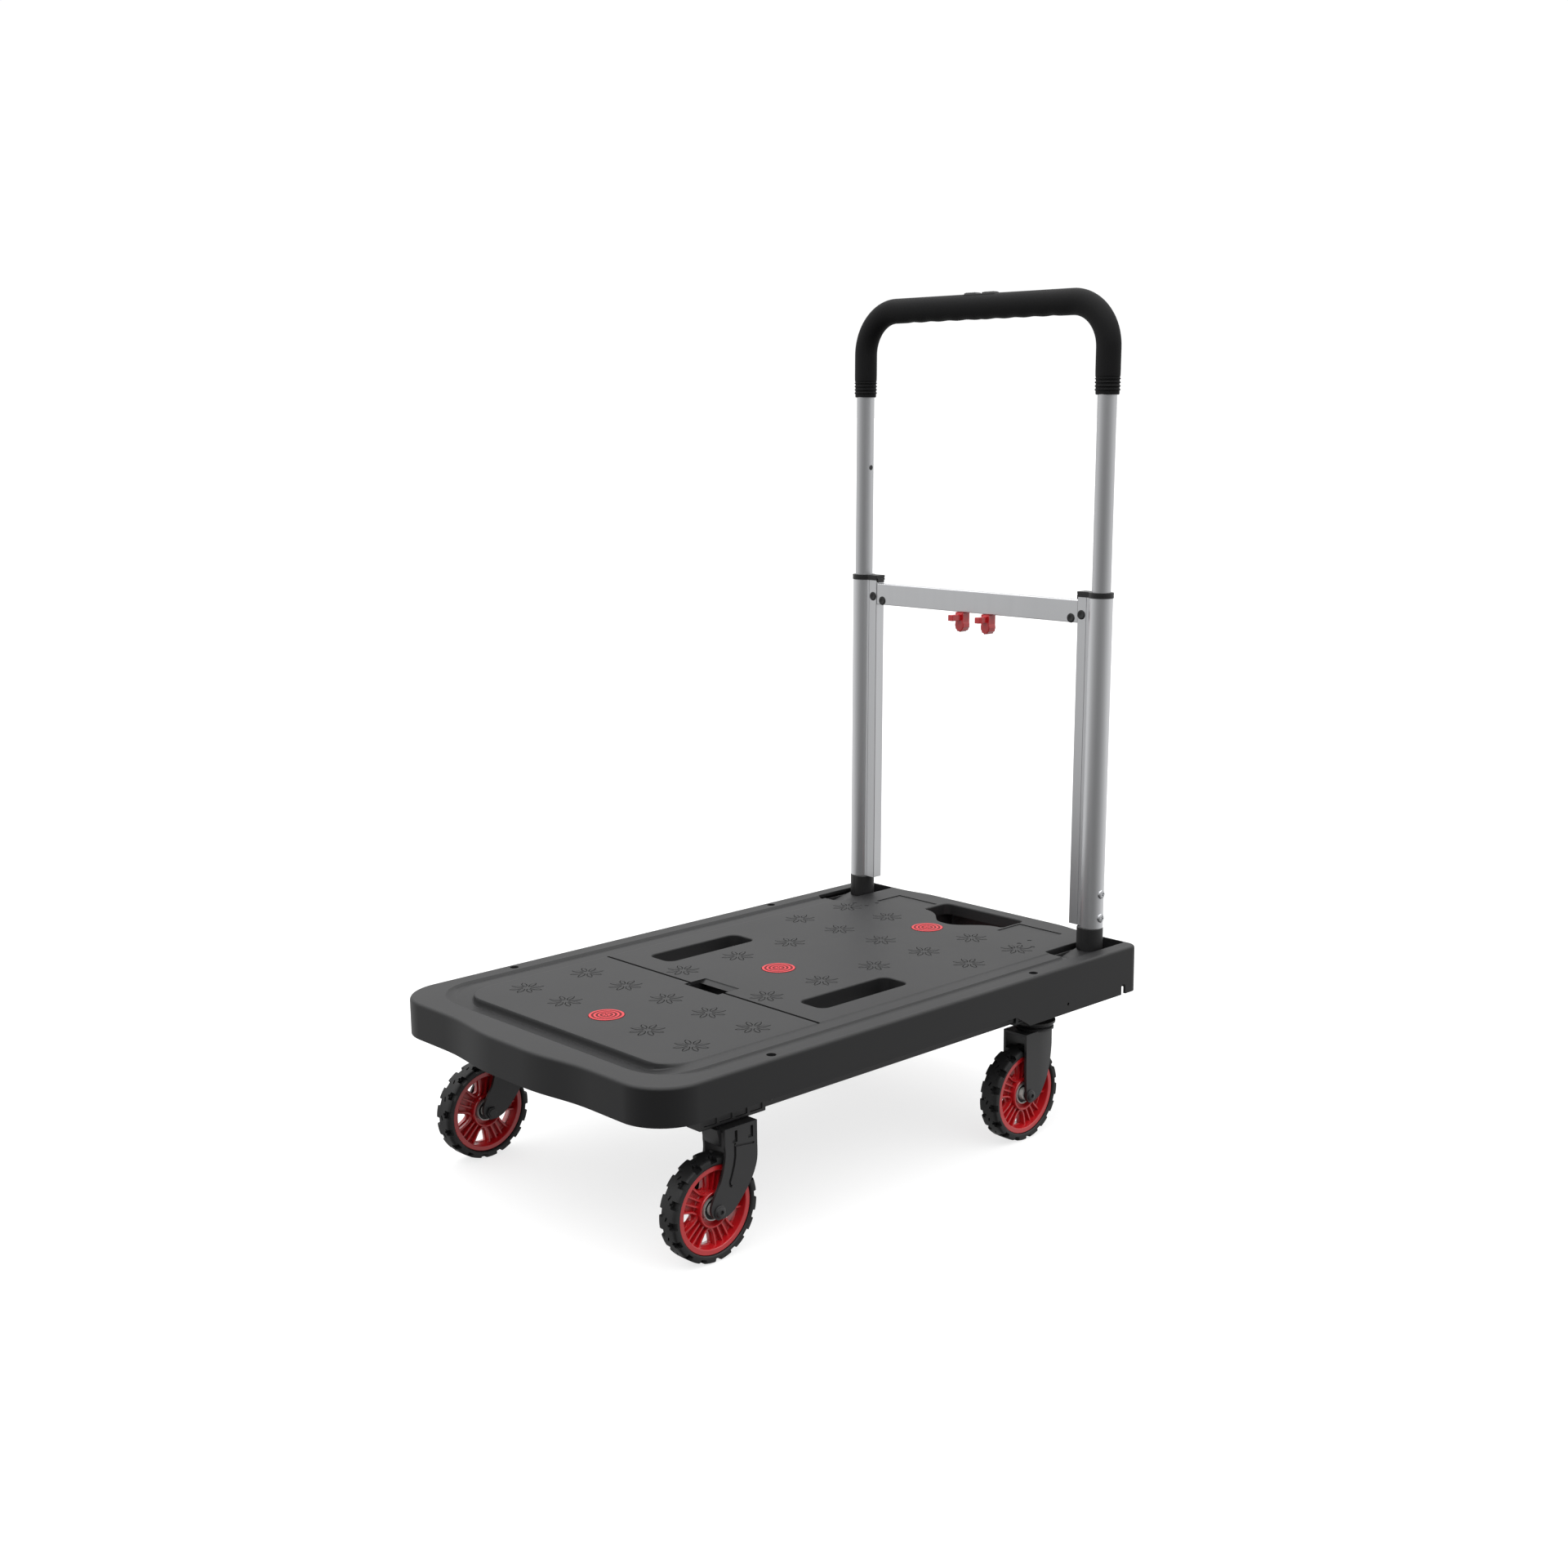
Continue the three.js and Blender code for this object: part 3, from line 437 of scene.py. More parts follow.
# The medallions' field between the rings, moulded in a deeper red.
DARK_RED = finish("sunk red ABS", "red_plastic", ("#5a060b", "#63080d"), 18, (0.5, 0.6),
                  [(0.8, 0.06, 0.05)], IOR=1.53, Specular_IOR_Level=0.15)
# Pins and the rails' screws: bright zinc on turned steel, slightly clouded over a few millimetres.
ZINC = finish("bright zinc plate", "plated_steel", ("#b9babd", "#d6d7d9"), 4, (0.18, 0.32),
              [(0.6, 0.08, 0.03)], Metallic=1.0)
# Wheel bearings: natural acetal, waxy white.
ACETAL = finish("natural acetal", "bearing_plastic", ("#cfcfca", "#dcdcd8"), 6, (0.35, 0.45),
                [(0.8, 0.08, 0.04)], IOR=1.48)
# Tyres and bearing seals: moulded solid rubber, dull black with a trace of grey bloom.
RUBBER = finish("moulded rubber", "tyre", ("#0e0e0f", "#171718"), 15, (0.5, 0.66),
                [(0.9, 0.22, 0.1)], IOR=1.52)

# ---------------------------------------------------------------- platform
WALL = 3.0
SKIN = 4.0
WALL_DEPTH = 39.0
REAR_DEPTH = 53.0
TAPER_X = (144, 166)  # where the side walls grow to the rear depth
EDGE = 3.5  # rounding of the deck's top edge
FRONT_X, FRONT_CORNER, FRONT_BOW = -351.5, 50, (9.2, 122, 25)
REAR_X, REAR_CORNER, REAR_BOW = 355.0, 12, (5.8, 153, 96)
SLOT = {"x": (-67.3, 61.3), "y": (103, 140.5), "corner": 10}
LATCH = {"x": (-110.7, -79.7), "half": 28.5, "depth": 6.5}
MEDALLION_X = [middle(f"medallion_{place}").x for place in ("front", "middle", "rear")]
MEDALLION_RADIUS = span("medallion_front")[1].y
ARM_OPENING = {"x": (256, 352), "y": (HINGE.y - 19, HINGE.y + 19)}


def platform_outline(inset):
    """The deck seen from above: rounded front corners and gently bowed ends."""
    half = HALF_WIDTH - inset
    out, wide, narrow = FRONT_BOW
    front, nose = FRONT_X + inset, FRONT_X + inset - out
    rear, tail = REAR_X - inset, REAR_X - inset + REAR_BOW[0]
    rf, rr = FRONT_CORNER - inset, REAR_CORNER - inset
    pull = (wide - narrow) * 0.4
    tail_pull = (REAR_BOW[1] - REAR_BOW[2]) * 0.4
    side = arc((front + rf, half - rf), rf, 180, 90, 14) + arc((rear - rr, half - rr), rr, 90, 0, 8)
    side += bezier((rear, REAR_BOW[1]), (rear, REAR_BOW[1] - tail_pull),
                   (tail, REAR_BOW[2] + tail_pull), (tail, REAR_BOW[2]))
    side.append((tail, REAR_BOW[2]))
    nose_half = bezier((front, wide), (front, wide - pull), (nose, narrow + pull), (nose, narrow))
    side = [(nose, narrow)] + nose_half[::-1] + side
    return doubled(side)


def groove(backing=False):
    """The channel round the pad, deepest across the front, or the thicker skin behind it."""
    inner, outer = (Vector((-261, 135)), 34), (Vector((-267, 142)), 58)
    rear = ARM_OPENING["x"][0] + 6
    # depth at each share of the way from the pad to the rim: along the sides, and at the front
    profile = [(0, 0, 0), (0.035, 0.15, 0.35), (0.06, 0.5, 1.2), (0.08, 0.8, 3.6), (0.1, 0.95, 6.6),
               (0.14, 1.0, 8.2), (0.3, 1.0, 8.4), (0.5, 1.0, 7.6), (0.62, 1.0, 6.4), (0.65, 1.8, 5.9),
               (0.68, 2.7, 5.4), (0.78, 3.0, 3.6), (0.89, 2.8, 1.6), (0.96, 0.9, 0.4), (1, 0, 0)]

    def station(angle, shift_x=0.0, shift_y=0.0):
        a = math.radians(angle)
        reach = Vector((math.cos(a), math.sin(a)))
        near, far = (centre + reach * radius for centre, radius in (inner, outer))
        nudge = Vector((shift_x, shift_y))
        if backing:
            near, far = near - reach * 3 + nudge, far + reach * 3 + nudge
            return [(p.x, p.y, TOP + z) for p, z in ((near, -12), (far, -12), (far, -2), (near, -2))]
        front = (1 - math.cos(2 * (a - math.pi / 2))) / 2
        ring = []
        for share, side_depth, front_depth in profile:
            at = near.lerp(far, share) + nudge
            ring.append((at.x, at.y, TOP - side_depth * (1 - front) - front_depth * front))
        return ring + [(p.x, p.y, TOP + OVER) for p in (far + nudge, near + nudge)]

    half = [station(90, shift_x=x - inner[0].x) for x in spread(rear, inner[0].x + 6, 12)]
    half += [station(a) for a in spread(90, 180, 16)]
    half += [station(180, shift_y=y - inner[0].y) for y in spread(inner[0].y, 0, 8)[1:]]
    other = [[(x, -y, z) for x, y, z in ring] for ring in half[-2::-1]]
    return loft(half + other)


def bell_outline(grow):
    """The hand opening at the rear: a straight back and a hump towards the deck's middle."""
    half, front, hump, rear, corner = 62 + grow, 301.6 - grow, 270.4 - grow, 341.8 + grow, 8 + grow
    side = bezier((hump, -3), (hump, -24 - grow), (front, -30 - grow), (front, -half + 3), 16)
    side += [(front, -half + 3), (front + 3, -half)]
    side += arc((rear - corner, -half + corner), corner, -90, 0, 8)
    return doubled(side)


def lipped(outline_at, low, lip):
    """A cutter for an opening whose top edge is rounded by lip."""
    levels = [(0, low)]
    levels += [(grow, TOP - drop) for grow, drop in rounding(lip, 4)]
    levels.append((lip, TOP + OVER))
    return loft([[(u, v, z) for u, v in outline_at(grow)] for grow, z in levels])


def grown_rect(xs, ys, radius):
    return lambda grow: rounded_rect(
        (xs[0] - grow, xs[1] + grow), (ys[0] - grow, ys[1] + grow), radius + grow, 8)


def petal(angle):
    """One raised lens of a rosette, sunk round its edge so that its outline shows."""
    start, length = 3.4, 16.0

    def ring(half, trim, z):
        points = []
        for i in range(16):
            t = i / 8 if i <= 8 else 2 - i / 8
            side = 1 if i <= 8 else -1
            along = start + trim + (length - 2 * trim) * t
            points.append((along, side * half * math.sin(math.pi * t) ** 0.8, TOP + z))
        return points

    moat = loft([ring(3.0, 0.2, -0.9), ring(3.2, -0.1, 2)])
    lens = loft([ring(2.1, 1.1, -1.4), ring(2.1, 1.1, -0.1), ring(1.7, 1.9, 0.3), ring(0.6, 4, 0.4)])
    return turned(moat, angle, "Z"), turned(lens, angle, "Z")


def rosettes():
    """Anti-slip rosettes on a lattice that leaves out the slots and the medallions."""
    moats, lenses = zip(*(petal(22.5 + 45 * i) for i in range(8)))
    first_x, pitch_x, pitch_y = -238, 80, 67.5
    places = []
    for k in range(7):
        rows = [1] + ([2] if k in (0, 1, 5, 6) else []) + ([0] if k in (1, 5) else [])
        places += [(first_x + pitch_x * k, pitch_y * row)
                   for n in rows for row in ((n, -n) if n else (0,))]
    return [repeated(merge(*shapes), places) for shapes in (moats, lenses)]


def well_ribs():
    """Curved ribs under the deck that follow the wheels as they lie folded."""
    wheel_y = PIVOT.y - 114.5  # middle of a folded wheel
    ribs = []
    for x, start, end in ((-265, -62, 62), (187, 118, 242)):
        path = [(u, v, TOP - 7) for u, v in arc((x, wheel_y), 70, start, end, 24)]
        ribs.append(sweep(path, [(-1, -5), (1, -5), (1, 5), (-1, 5)], (0, 0, 1)))
    return merge(*ribs)


def rim_holes():
    hole = lathe([(0, 0), (4.9, 0), (4.9, 12), (0, 12)], "z", 28)
    return repeated(hole, [(x, y, TOP - 9) for x in (-201.5, 183) for y in (-209, 209)])


def small_marks():
    """Pin marks by the arm openings and a drain hole low in each side wall."""
    spots = repeated(drill(2.6, TOP - 0.5, TOP + 2, "z", 20),
                     [(244, 128), (262, 122), (262, 142), (280, 122)])
    drain = shifted(drill(1.7, HALF_WIDTH - 8, HALF_WIDTH + 3, "y", 16), 230, 0, TOP - 43)
    return both(merge(spots, drain))


def side_notches():
    """Where the carry shaft's ends show: a slot up from the wall's lower edge."""
    outline = rounded_rect((324.5, 331.5), (TOP - 90, TOP - 41), 3.45, 8)
    return both(prism(outline, HALF_WIDTH - 8, HALF_WIDTH + 8, "y"))


def platform():
    """The deck: a thin shell and its ribs, then the openings, and last what is moulded on top."""
    low, under = TOP - REAR_DEPTH, TOP - 60
    shell = soft_prism(platform_outline, low, TOP, "z", 0, EDGE, 5)
    cavity = prism(platform_outline(WALL), low - 1, TOP - SKIN)
    lift = prism([(FRONT_X - 60, TOP - WALL_DEPTH), (TAPER_X[0], TOP - WALL_DEPTH), (TAPER_X[1], low),
                  (TAPER_X[1], low - 9), (FRONT_X - 60, low - 9)], -HALF_WIDTH - 5, HALF_WIDTH + 5, "y")
    shell = carve(shell, cavity, lift)
    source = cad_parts["platform"].data
    cad = joined([tuple(v.co / MM) for v in source.vertices],
                 [list(p.vertices) for p in source.polygons])
    core = prism(platform_outline(WALL / 2), low - 9, TOP - SKIN / 2)
    ribs = carve(cad, core, operation="INTERSECT")
    bell_wall = prism(bell_outline(WALL + 0.5), TOP - 13.5, TOP - SKIN / 2)
    body = weld(shell, ribs, bell_wall, both(well_ribs()), groove(backing=True))
    slots = both(lipped(grown_rect(SLOT["x"], SLOT["y"], SLOT["corner"]), under, 1.8))
    arms = both(lipped(grown_rect(ARM_OPENING["x"], ARM_OPENING["y"], 4), under, 1.2))
    body = carve(body, groove(), slots, arms, lipped(bell_outline, under, 2))
    seat = MEDALLION_RADIUS + 0.35
    seats = repeated(lathe([(0, -2.4), (seat, -2.4), (seat, OVER), (0, OVER)], "z", 64),
                     [(x, 0, TOP) for x in MEDALLION_X])
    half = LATCH["half"]
    near, far = LATCH["x"]
    slope = ((far - 13, -LATCH["depth"]), (far - 0.8, -1.2), (far, 0.2), (far, OVER))
    latch = loft([rounded_rect_at((near, reach), (-half + 1, half - 1), 0.6, TOP + z)
                  for reach, z in slope])
    seam = both(block((-103.8, -100.4), (half - 1, 171), (TOP - 2.4, TOP + OVER)))
    panels = both(block((288, 329), (66, 130), (TOP - 0.9, TOP + OVER)))
    body = carve(body, merge(seats, rim_holes()), latch, seam, panels, side_notches(), small_marks())
    moats, lenses = rosettes()
    return weld(carve(body, moats), lenses)


make("platform_shell", platform(), DECK, "deck", ["platform"], sharp=28)


def medallion():
    """A sunk disc, and the three rings and eight bars that stand on it."""
    r = MEDALLION_RADIUS
    base = lathe([(0, -2.0), (r, -2.0), (r, 0.15), (r - 0.3, 0.35), (0, 0.35)], "z", 96)
    rings = [lathe([(b, 0), (a, 0), (a, 0.4), (a - 0.1, 0.45), (b + 0.1, 0.45), (b, 0.4)], "z", 96)
             for a, b in ((r - 0.4, r - 2.8), (r - 5.2, r - 7.4), (r - 9.8, r - 11.6))]
    bars = copies(block((1.6, r - 13.6), (-0.8, 0.8), (0, 0.45)), [45 * i for i in range(8)], "Z")
    return base, merge(*rings, bars)


base, rings = medallion()
for place, x in zip(("front", "middle", "rear"), MEDALLION_X):
    make(f"medallion_{place}_base", shifted(base, x, 0, TOP), DARK_RED, "deck", [f"medallion_{place}"])
    make(f"medallion_{place}_rings", shifted(rings, x, 0, TOP), PALE_RED, "deck")

# ---------------------------------------------------------------- wheels, centred on the axle along Y
TYRE_RADIUS = half_size("front_tyre_right").z
TYRE_HALF = half_size("front_tyre_right").y
BEARING_HALF = half_size("front_bearing_right").y
RIM_RADIUS = 44.2
LUGS = 16
WHEEL_TURNS = {"front": -25, "rear": -27}  # degrees about the axle


def tyre():
    """A solid tyre: deep staggered notches between shoulder lugs, and a sipe in each middle block."""
    r, half = TYRE_RADIUS, TYRE_HALF
    side = [(RIM_RADIUS + 0.3, half - 1.2), (RIM_RADIUS + 1.2, half - 0.3), (RIM_RADIUS + 2.0, half),
            (r - 2.8, half), (r - 1.4, half - 0.5), (r - 0.5, half - 1.6), (r - 0.1, half - 3.2),
            (r, half - 5.5)]
    body = lathe(doubled(side), "y", 144)

    def cutter(foot, rim, depth, low, high):
        return prism([(-foot, r - depth), (foot, r - depth), (rim, r + 2), (-rim, r + 2)], low, high, "y")

    pitch = 360 / LUGS
    turns = [pitch * i for i in range(LUGS)]
    outer = copies(cutter(3.6, 4.4, 4.6, half - 7.4, half + 2), turns)
    necks = copies(cutter(1.0, 1.4, 2.4, half - 9.5, half - 6), turns)
    sipe = turned(cutter(2.4, 2.6, 1.9, -0.9, 0.9), 24, "Z")
    sipes = copies(sipe, [turn + pitch / 4 for turn in turns])
    inner, inner_necks = (turned(mirrored(shape), pitch / 2) for shape in (outer, necks))
    return carve(body, outer, inner, necks, inner_necks, sipes)


def rim_profile():
    """Half section of the wheel centre as (radius, y), from the rim's middle to the bore."""
    r = RIM_RADIUS
    return [(r, 0), (r, 9.5), (r - 0.5, 10), (r - 4.8, 10), (r - 5.5, 9.5), (r - 5.9, 8.3), (36.9, 2.4),
            (36.8, 1.4), (36.0, 1.0), (19.4, 1.0), (18.6, 1.6), (18.1, 8.8), (17.5, 9.5), (16.4, 9.5),
            (15.8, 8.8), (15.4, 3.0), (11.8, 3.0), (11.8, 0)]


def hoop_rib():
    """The rib round one window, open towards the rim, and the two straight ribs beside it."""
    path = [(38.4, 0, -10.8), (34, 0, -9.7), (28, 0, -7.6), (24, 0, -6.0)]
    path += [(u, 0, v) for u, v in arc((23.6, 0), 4.6, 240, 120, 10)]
    path += [(24, 0, 6.0), (28, 0, 7.6), (34, 0, 9.7), (38.4, 0, 10.8)]
    foot = [(-1.2, 0), (1.2, 0), (1.1, 5.2), (0.8, 5.8), (-0.8, 5.8), (-1.1, 5.2)]
    pair = merge(*(sweep([(18, 0, v), (38, 0, 1.25 * v)], foot, (0, 1, 0)) for v in (-3, 3)))
    return sweep(path, foot, (0, 1, 0)), turned(pair, 36)


def wheel_centre():
    """A moulded centre: flanged bowl, thin web with five windows, ribs and a hub ring."""
    half = rim_profile()
    body = lathe(half + [(r, -y) for r, y in half[-2:0:-1]], "y", 96)
    window = prism(eased([(23, -2.8), (35.2, -7.8), (36.2, 0), (35.2, 7.8), (23, 2.8)], 2.4), -4, 4, "y")
    fifths = [72 * i - 90 for i in range(5)]
    body = carve(body, copies(window, fifths))
    for shape in hoop_rib():
        ring = copies(shape, fifths)
        body = weld(body, ring, mirrored(ring))
    return body


def bearing():
    """A plain bush with a raised boss against the fork and a sunk outer face."""
    half = BEARING_HALF
    side = [(4.4, half), (6.2, half), (6.5, half - 0.4), (6.6, 1.5), (10.4, 1.5),
            (10.4, half - 3.4), (11.2, half - 3.2), (11.45, half - 3.8)]
    return lathe(doubled(side), "y", 48)


def seals():
    """Dark rings that close the bearing's two faces."""
    face = BEARING_HALF - 5
    return both(lathe([(6.9, face - 1), (10.1, face - 1), (10.1, face), (6.9, face)], "y", 48))


def add_wheels():
    parts = {"tyre": (tyre(), RUBBER), "hub": (wheel_centre(), RED), "bearing": (bearing(), ACETAL)}
    for side in SIDES:
        for end, turn in WHEEL_TURNS.items():
            centre = middle(f"{end}_tyre_{side}")
            for part, (shape, finish) in parts.items():
                placed = shifted(for_side(turned(shape, turn), side), *centre)
                node = f"{end}_{part}_{side}"
                make(f"{node}_moulded", placed, finish, f"{end}_wheel_{side}", [node])
            make(f"{end}_seals_{side}", shifted(seals(), *centre), RUBBER, f"{end}_wheel_{side}")


add_wheels()

# ---------------------------------------------------------------- forks, drawn for the right side
AXLE_Z = middle("front_tyre_right").z
FRONT_AXLE_X = middle("front_tyre_right").x
REAR_AXLE_X = middle("rear_tyre_right").x
WHEEL_Y = middle("front_tyre_right").y
AXLE_BORE = 4.3  # a radius, as every bore here
SWIVEL_X = middle("swivel_plate_right").x
FORK_OUT = (span("front_fork_right")[1].y - 3, span("front_fork_right")[1].y)
FORK_IN = (span("front_fork_right")[0].y, span("front_fork_right")[0].y + 3)
FORK_TOP = span("front_fork_right")[1].z - AXLE_Z  # over the axle
YOKE_TOP = span("swivel_plate_right")[0].z - CLEAR - AXLE_Z


def curve_through(points, steps=5):
    """Points on a smooth curve through all of the given ones."""
    ends = [points[0]] + list(points) + [points[-1]]
    result = []
    for a, b, c, d in zip(ends, ends[1:], ends[2:], ends[3:]):
        for t in spread(0, 1, steps)[:-1]:
            result.append(tuple(
                0.5 * (2 * b[k] + (c[k] - a[k]) * t + (2 * a[k] - 5 * b[k] + 4 * c[k] - d[k]) * t * t
                       + (3 * b[k] - a[k] - 3 * c[k] + d[k]) * t ** 3) for k in range(len(b))))
    return result + [points[-1]]


def front_fork_outline():
    """One cheek from the side, as (x behind the axle, z over it)."""
    front = curve_through([(8.3, 62), (8.5, 51), (3.4, 31), (-5, 17), (-10, 6), (-8.6, -2.4), (-2, -8)])
    rear = curve_through([(7, -8.2), (18.7, -3), (33.5, 12), (43, 25), (48.6, 40), (49, 57.5)])
    return [(8.3, FORK_TOP)] + front + rear + [(49, FORK_TOP)]


def front_fork():
    """A pressed fork: J-shaped channel, two lightening slots under the foot and a short ledge."""
    outline = front_fork_outline()
    low_y, high_y = FORK_OUT
    cheek = prism(outline, low_y, high_y, "y")
    channel = [(20.5, high_y, z) for z in (63, 50)]
    channel += [(19, high_y, 42), (16.2, high_y, 33), (13.4, high_y, 26), (13.6, high_y, 22.4),
                (16, high_y, 20.8)]
    grooves = [sweep(channel, [(-1.6, 1), (-1.1, -1.9), (1.1, -1.9), (1.6, 1)], (0, 1, 0))]
    grooves += [block((x - 1.7, x + 1.7), (high_y - 2.4, high_y + 1), (66.4, FORK_TOP + 4))
                for x in (22, 42)]
    grooves += [block((x - 4.5, x + 1.7), (high_y - 2.0, high_y + 1), (63.6, 66.6)) for x in (22, 42)]
    grooves.append(sweep([(21, high_y, 60.2), (45, high_y, 57.4)],
                         [(-1.2, 1), (-0.9, -1.5), (0.9, -1.5), (1.2, 1)], (0, 1, 0)))
    cheek = carve(cheek, *grooves)
    inner = prism(outline, *FORK_IN, "y")
    foot = block((8.3, 49), (FORK_IN[0], high_y), (FORK_TOP - 4, FORK_TOP))
    nose = prism([(3.5, FORK_TOP - 1), (9, FORK_TOP - 1), (9, 60), (6, 66)],
                 FORK_IN[0] + 3, high_y - 6, "y")
    body = weld(cheek, inner, foot, nose)
    bore = drill(AXLE_BORE, FORK_IN[0] - 1, high_y + 1, "y")
    return shifted(carve(body, bore), FRONT_AXLE_X, 0, AXLE_Z)


def yoke_cheek(inner_y, outer_y, lean):
    """A stamped cheek, drawn as upright strips, whose rear part curls towards the wheel's middle."""
    front = [(-7, 34), (-6.7, 20), (-6.2, 8)] + arc((2.6, 0), 8.6, 190, 285, 12)
    rear = [(4.9, -8.2), (14.5, -4.6), (20, 1), (28, 12.6), (33.6, 24.6), (37, 37), (39, 50)]
    top = YOKE_TOP - 2.8
    rings = []
    for x, z in front + curve_through(rear, 3)[1:]:
        curl = -lean * 0.0042 * max(x - 14, 0) ** 2
        rings.append([(x, y + curl, height) for y, height in
                      ((inner_y, z), (outer_y, z), (outer_y, top), (inner_y, top))])
    return loft(rings)


def rear_yoke():
    """The swivelling fork: two cheeks, a crown under the race and a kingpin."""
    out = yoke_cheek(*FORK_OUT, 1)
    inside = yoke_cheek(*FORK_IN, -1)
    top = YOKE_TOP - 2.6
    crown = block((-7, 39.2), (FORK_IN[0], FORK_OUT[1]), (top - 3, top), 0.8)
    trail = SWIVEL_X - REAR_AXLE_X
    dome = lathe([(0, top - 1), (21.2, top - 1), (21.2, top + 0.9), (19, top + 2.5), (0, top + 2.5)],
                 "z", 48)
    pin = disc(5, top, YOKE_TOP + 5.4, "z", 0.4)
    dome, pin = (shifted(shape, trail, WHEEL_Y) for shape in (dome, pin))
    body = weld(out, inside, crown, dome, pin)
    body = carve(body, drill(AXLE_BORE, FORK_IN[0] - 1, FORK_OUT[1] + 1, "y"))
    return shifted(body, REAR_AXLE_X, 0, AXLE_Z)


def axle():
    """A bolt with a domed head and a hexagon socket outside, and a lock nut inside."""
    head_y, nut_y = FORK_OUT[1] + CLEAR, FORK_IN[0] - CLEAR
    shank = disc(4, nut_y - 2.6, head_y + 1, "y", 0.5)
    head = lathe([(0, head_y), (6.7, head_y), (6.7, head_y + 0.8), (5.6, head_y + 1.1),
                  (5.2, head_y + 2.4), (3.8, head_y + 3.1), (0, head_y + 3.1)], "y", 40)
    socket = prism(circle((0, 0), 2.4, 6), head_y + 1.3, head_y + 5, "y")
    nut = prism(circle((0, 0), 6.5, 6), nut_y - 2.2, nut_y, "y")
    collar = disc(4.6, nut_y - 3.1, nut_y - 1, "y", 0.5)
    return carve(weld(shank, head, nut, collar), socket)


def race():
    """The swivel's ball race as one plain ring, wider at its upper cup."""
    low, high = span("swivel_plate_right")[0].z, span("swivel_plate_right")[1].z
    profile = [(5.3, low), (19.5, low), (20.6, low + 0.4), (20.9, low + 1.6), (21.9, low + 2.1),
               (23, low + 3.0), (23, high - 0.4), (22.6, high), (5.3, high)]
    return shifted(lathe(profile, "z", 64), SWIVEL_X, WHEEL_Y, 0)


def add_forks():
    pieces = {
        "front_fork": (front_fork(), "leg", 0.7),
        "swivel_yoke": (rear_yoke(), "swivel", 0.7),
        "swivel_plate": (race(), "leg", 0),
        "front_axle": (shifted(axle(), FRONT_AXLE_X, 0, AXLE_Z), "leg", 0.25),
        "rear_axle": (shifted(axle(), REAR_AXLE_X, 0, AXLE_Z), "swivel", 0.25),
    }
    for side in SIDES:
        for node, (shape, body, bevel) in pieces.items():
            placed = for_side(shape, side)
            make(f"{node}_{side}_steel", placed, COAT, f"{body}_{side}", [f"{node}_{side}"], bevel)


add_forks()

# ---------------------------------------------------------------- handle, upright from its hinge line
RAIL_X = 36.0  # rail axis behind the hinge line
RAIL_Y = middle("inner_tube_right").y
RAIL_RADIUS, RAIL_BORE = 13.1, 11.7
RAIL_FOOT, RAIL_TOP = 44.2, 415.4
BOX_FOOT = RAIL_FOOT + 0.4  # lower end of the box
RAIL_FLAT = {"front": -6.3, "back": 7.2, "end": -27.6}
CROSSBAR_Z = (386.4, 411.8)
CROSSBAR_HALF = 5.6
GRIP_END, GRIP_BAR, GRIP_BEND = 634.7, 734.5, 50.0
GRIP_HALF = (14.5, 12.0)  # in the hoop's plane, and across it
TUBE_RADIUS = half_size("inner_tube_right").y
TUBE_TOP = GRIP_END + 37.3
TUBE_LENGTH = 425
STUD_Z = 551  # lock stud and its hole in the inner tube
PIN_BORE = 5.3  # round the hinge pin


def on_rail(shape, z=0):
    return shifted(shape, RAIL_X, RAIL_Y, z)


def rail_outline(grow=0.0):
    """A rail from above: a round tube with a flat box on its inner side."""
    r = RAIL_RADIUS + grow
    front, back, end = RAIL_FLAT["front"] - grow, RAIL_FLAT["back"] + grow, RAIL_FLAT["end"] - grow
    low, high = -math.sqrt(r * r - back * back), -math.sqrt(r * r - front * front)
    start, stop = math.degrees(math.atan2(low, back)), 360 + math.degrees(math.atan2(high, front))
    rounded = [(front + 0.6, end), (back - 0.6, end), (back, end + 0.6)]
    outline = [(front, end + 0.6)] + rounded + arc((0, 0), r, start, stop, 40)
    return [(RAIL_X + x, RAIL_Y + y) for x, y in outline]


def handle_rail():
    """An extrusion with its bore and its box chamber; the box ends just above the tube's foot."""
    low, high = RAIL_FOOT - 1, RAIL_TOP + 1
    bore = on_rail(drill(RAIL_BORE, low, high, "z", 48))
    room = rounded_rect((RAIL_X - 4.9, RAIL_X + 5.8), (RAIL_Y - 26.2, RAIL_Y - 14.5), 1, 3)
    front, seam = RAIL_X + RAIL_FLAT["front"], RAIL_Y - 15.2
    seam_line = prism([(front - 1, seam - 0.7), (front + 1, seam), (front - 1, seam + 0.7)], low, high)
    notch = block((RAIL_X - 14, RAIL_X + 14), (RAIL_Y - 29, RAIL_Y - 13.6), (low, BOX_FOOT))
    rail = prism(rail_outline(), RAIL_FOOT, RAIL_TOP)
    return carve(rail, bore, prism(room, low, high), notch, seam_line)


def pan_screw():
    """A pan head on +Y with a cross recess."""
    head = lathe([(0, -1.4), (5.0, -1.4), (5.2, -0.6), (5.1, 0.6), (4.3, 1.4), (2.4, 1.9), (0, 2.0)],
                 "y", 32)
    cross = block((-0.7, 0.7), (0.6, 4), (-2.8, 2.8))
    return carve(head, cross, turned(cross, 90))


def rail_screws():
    at = RAIL_Y + RAIL_RADIUS - 0.2
    return merge(*(shifted(turned(pan_screw(), angle), RAIL_X, at, z)
                   for z, angle in ((56.3, 20), (83.5, 55))))


def plug():
    """A pressed-in cap on -X with a shallow dimple."""
    return lathe([(0, 1.5), (5.2, 1.5), (5.4, 0.2), (5.1, -0.6), (4.1, -0.95), (3.0, -0.95), (2.3, -0.6),
                  (0, -0.5)], "x", 36)


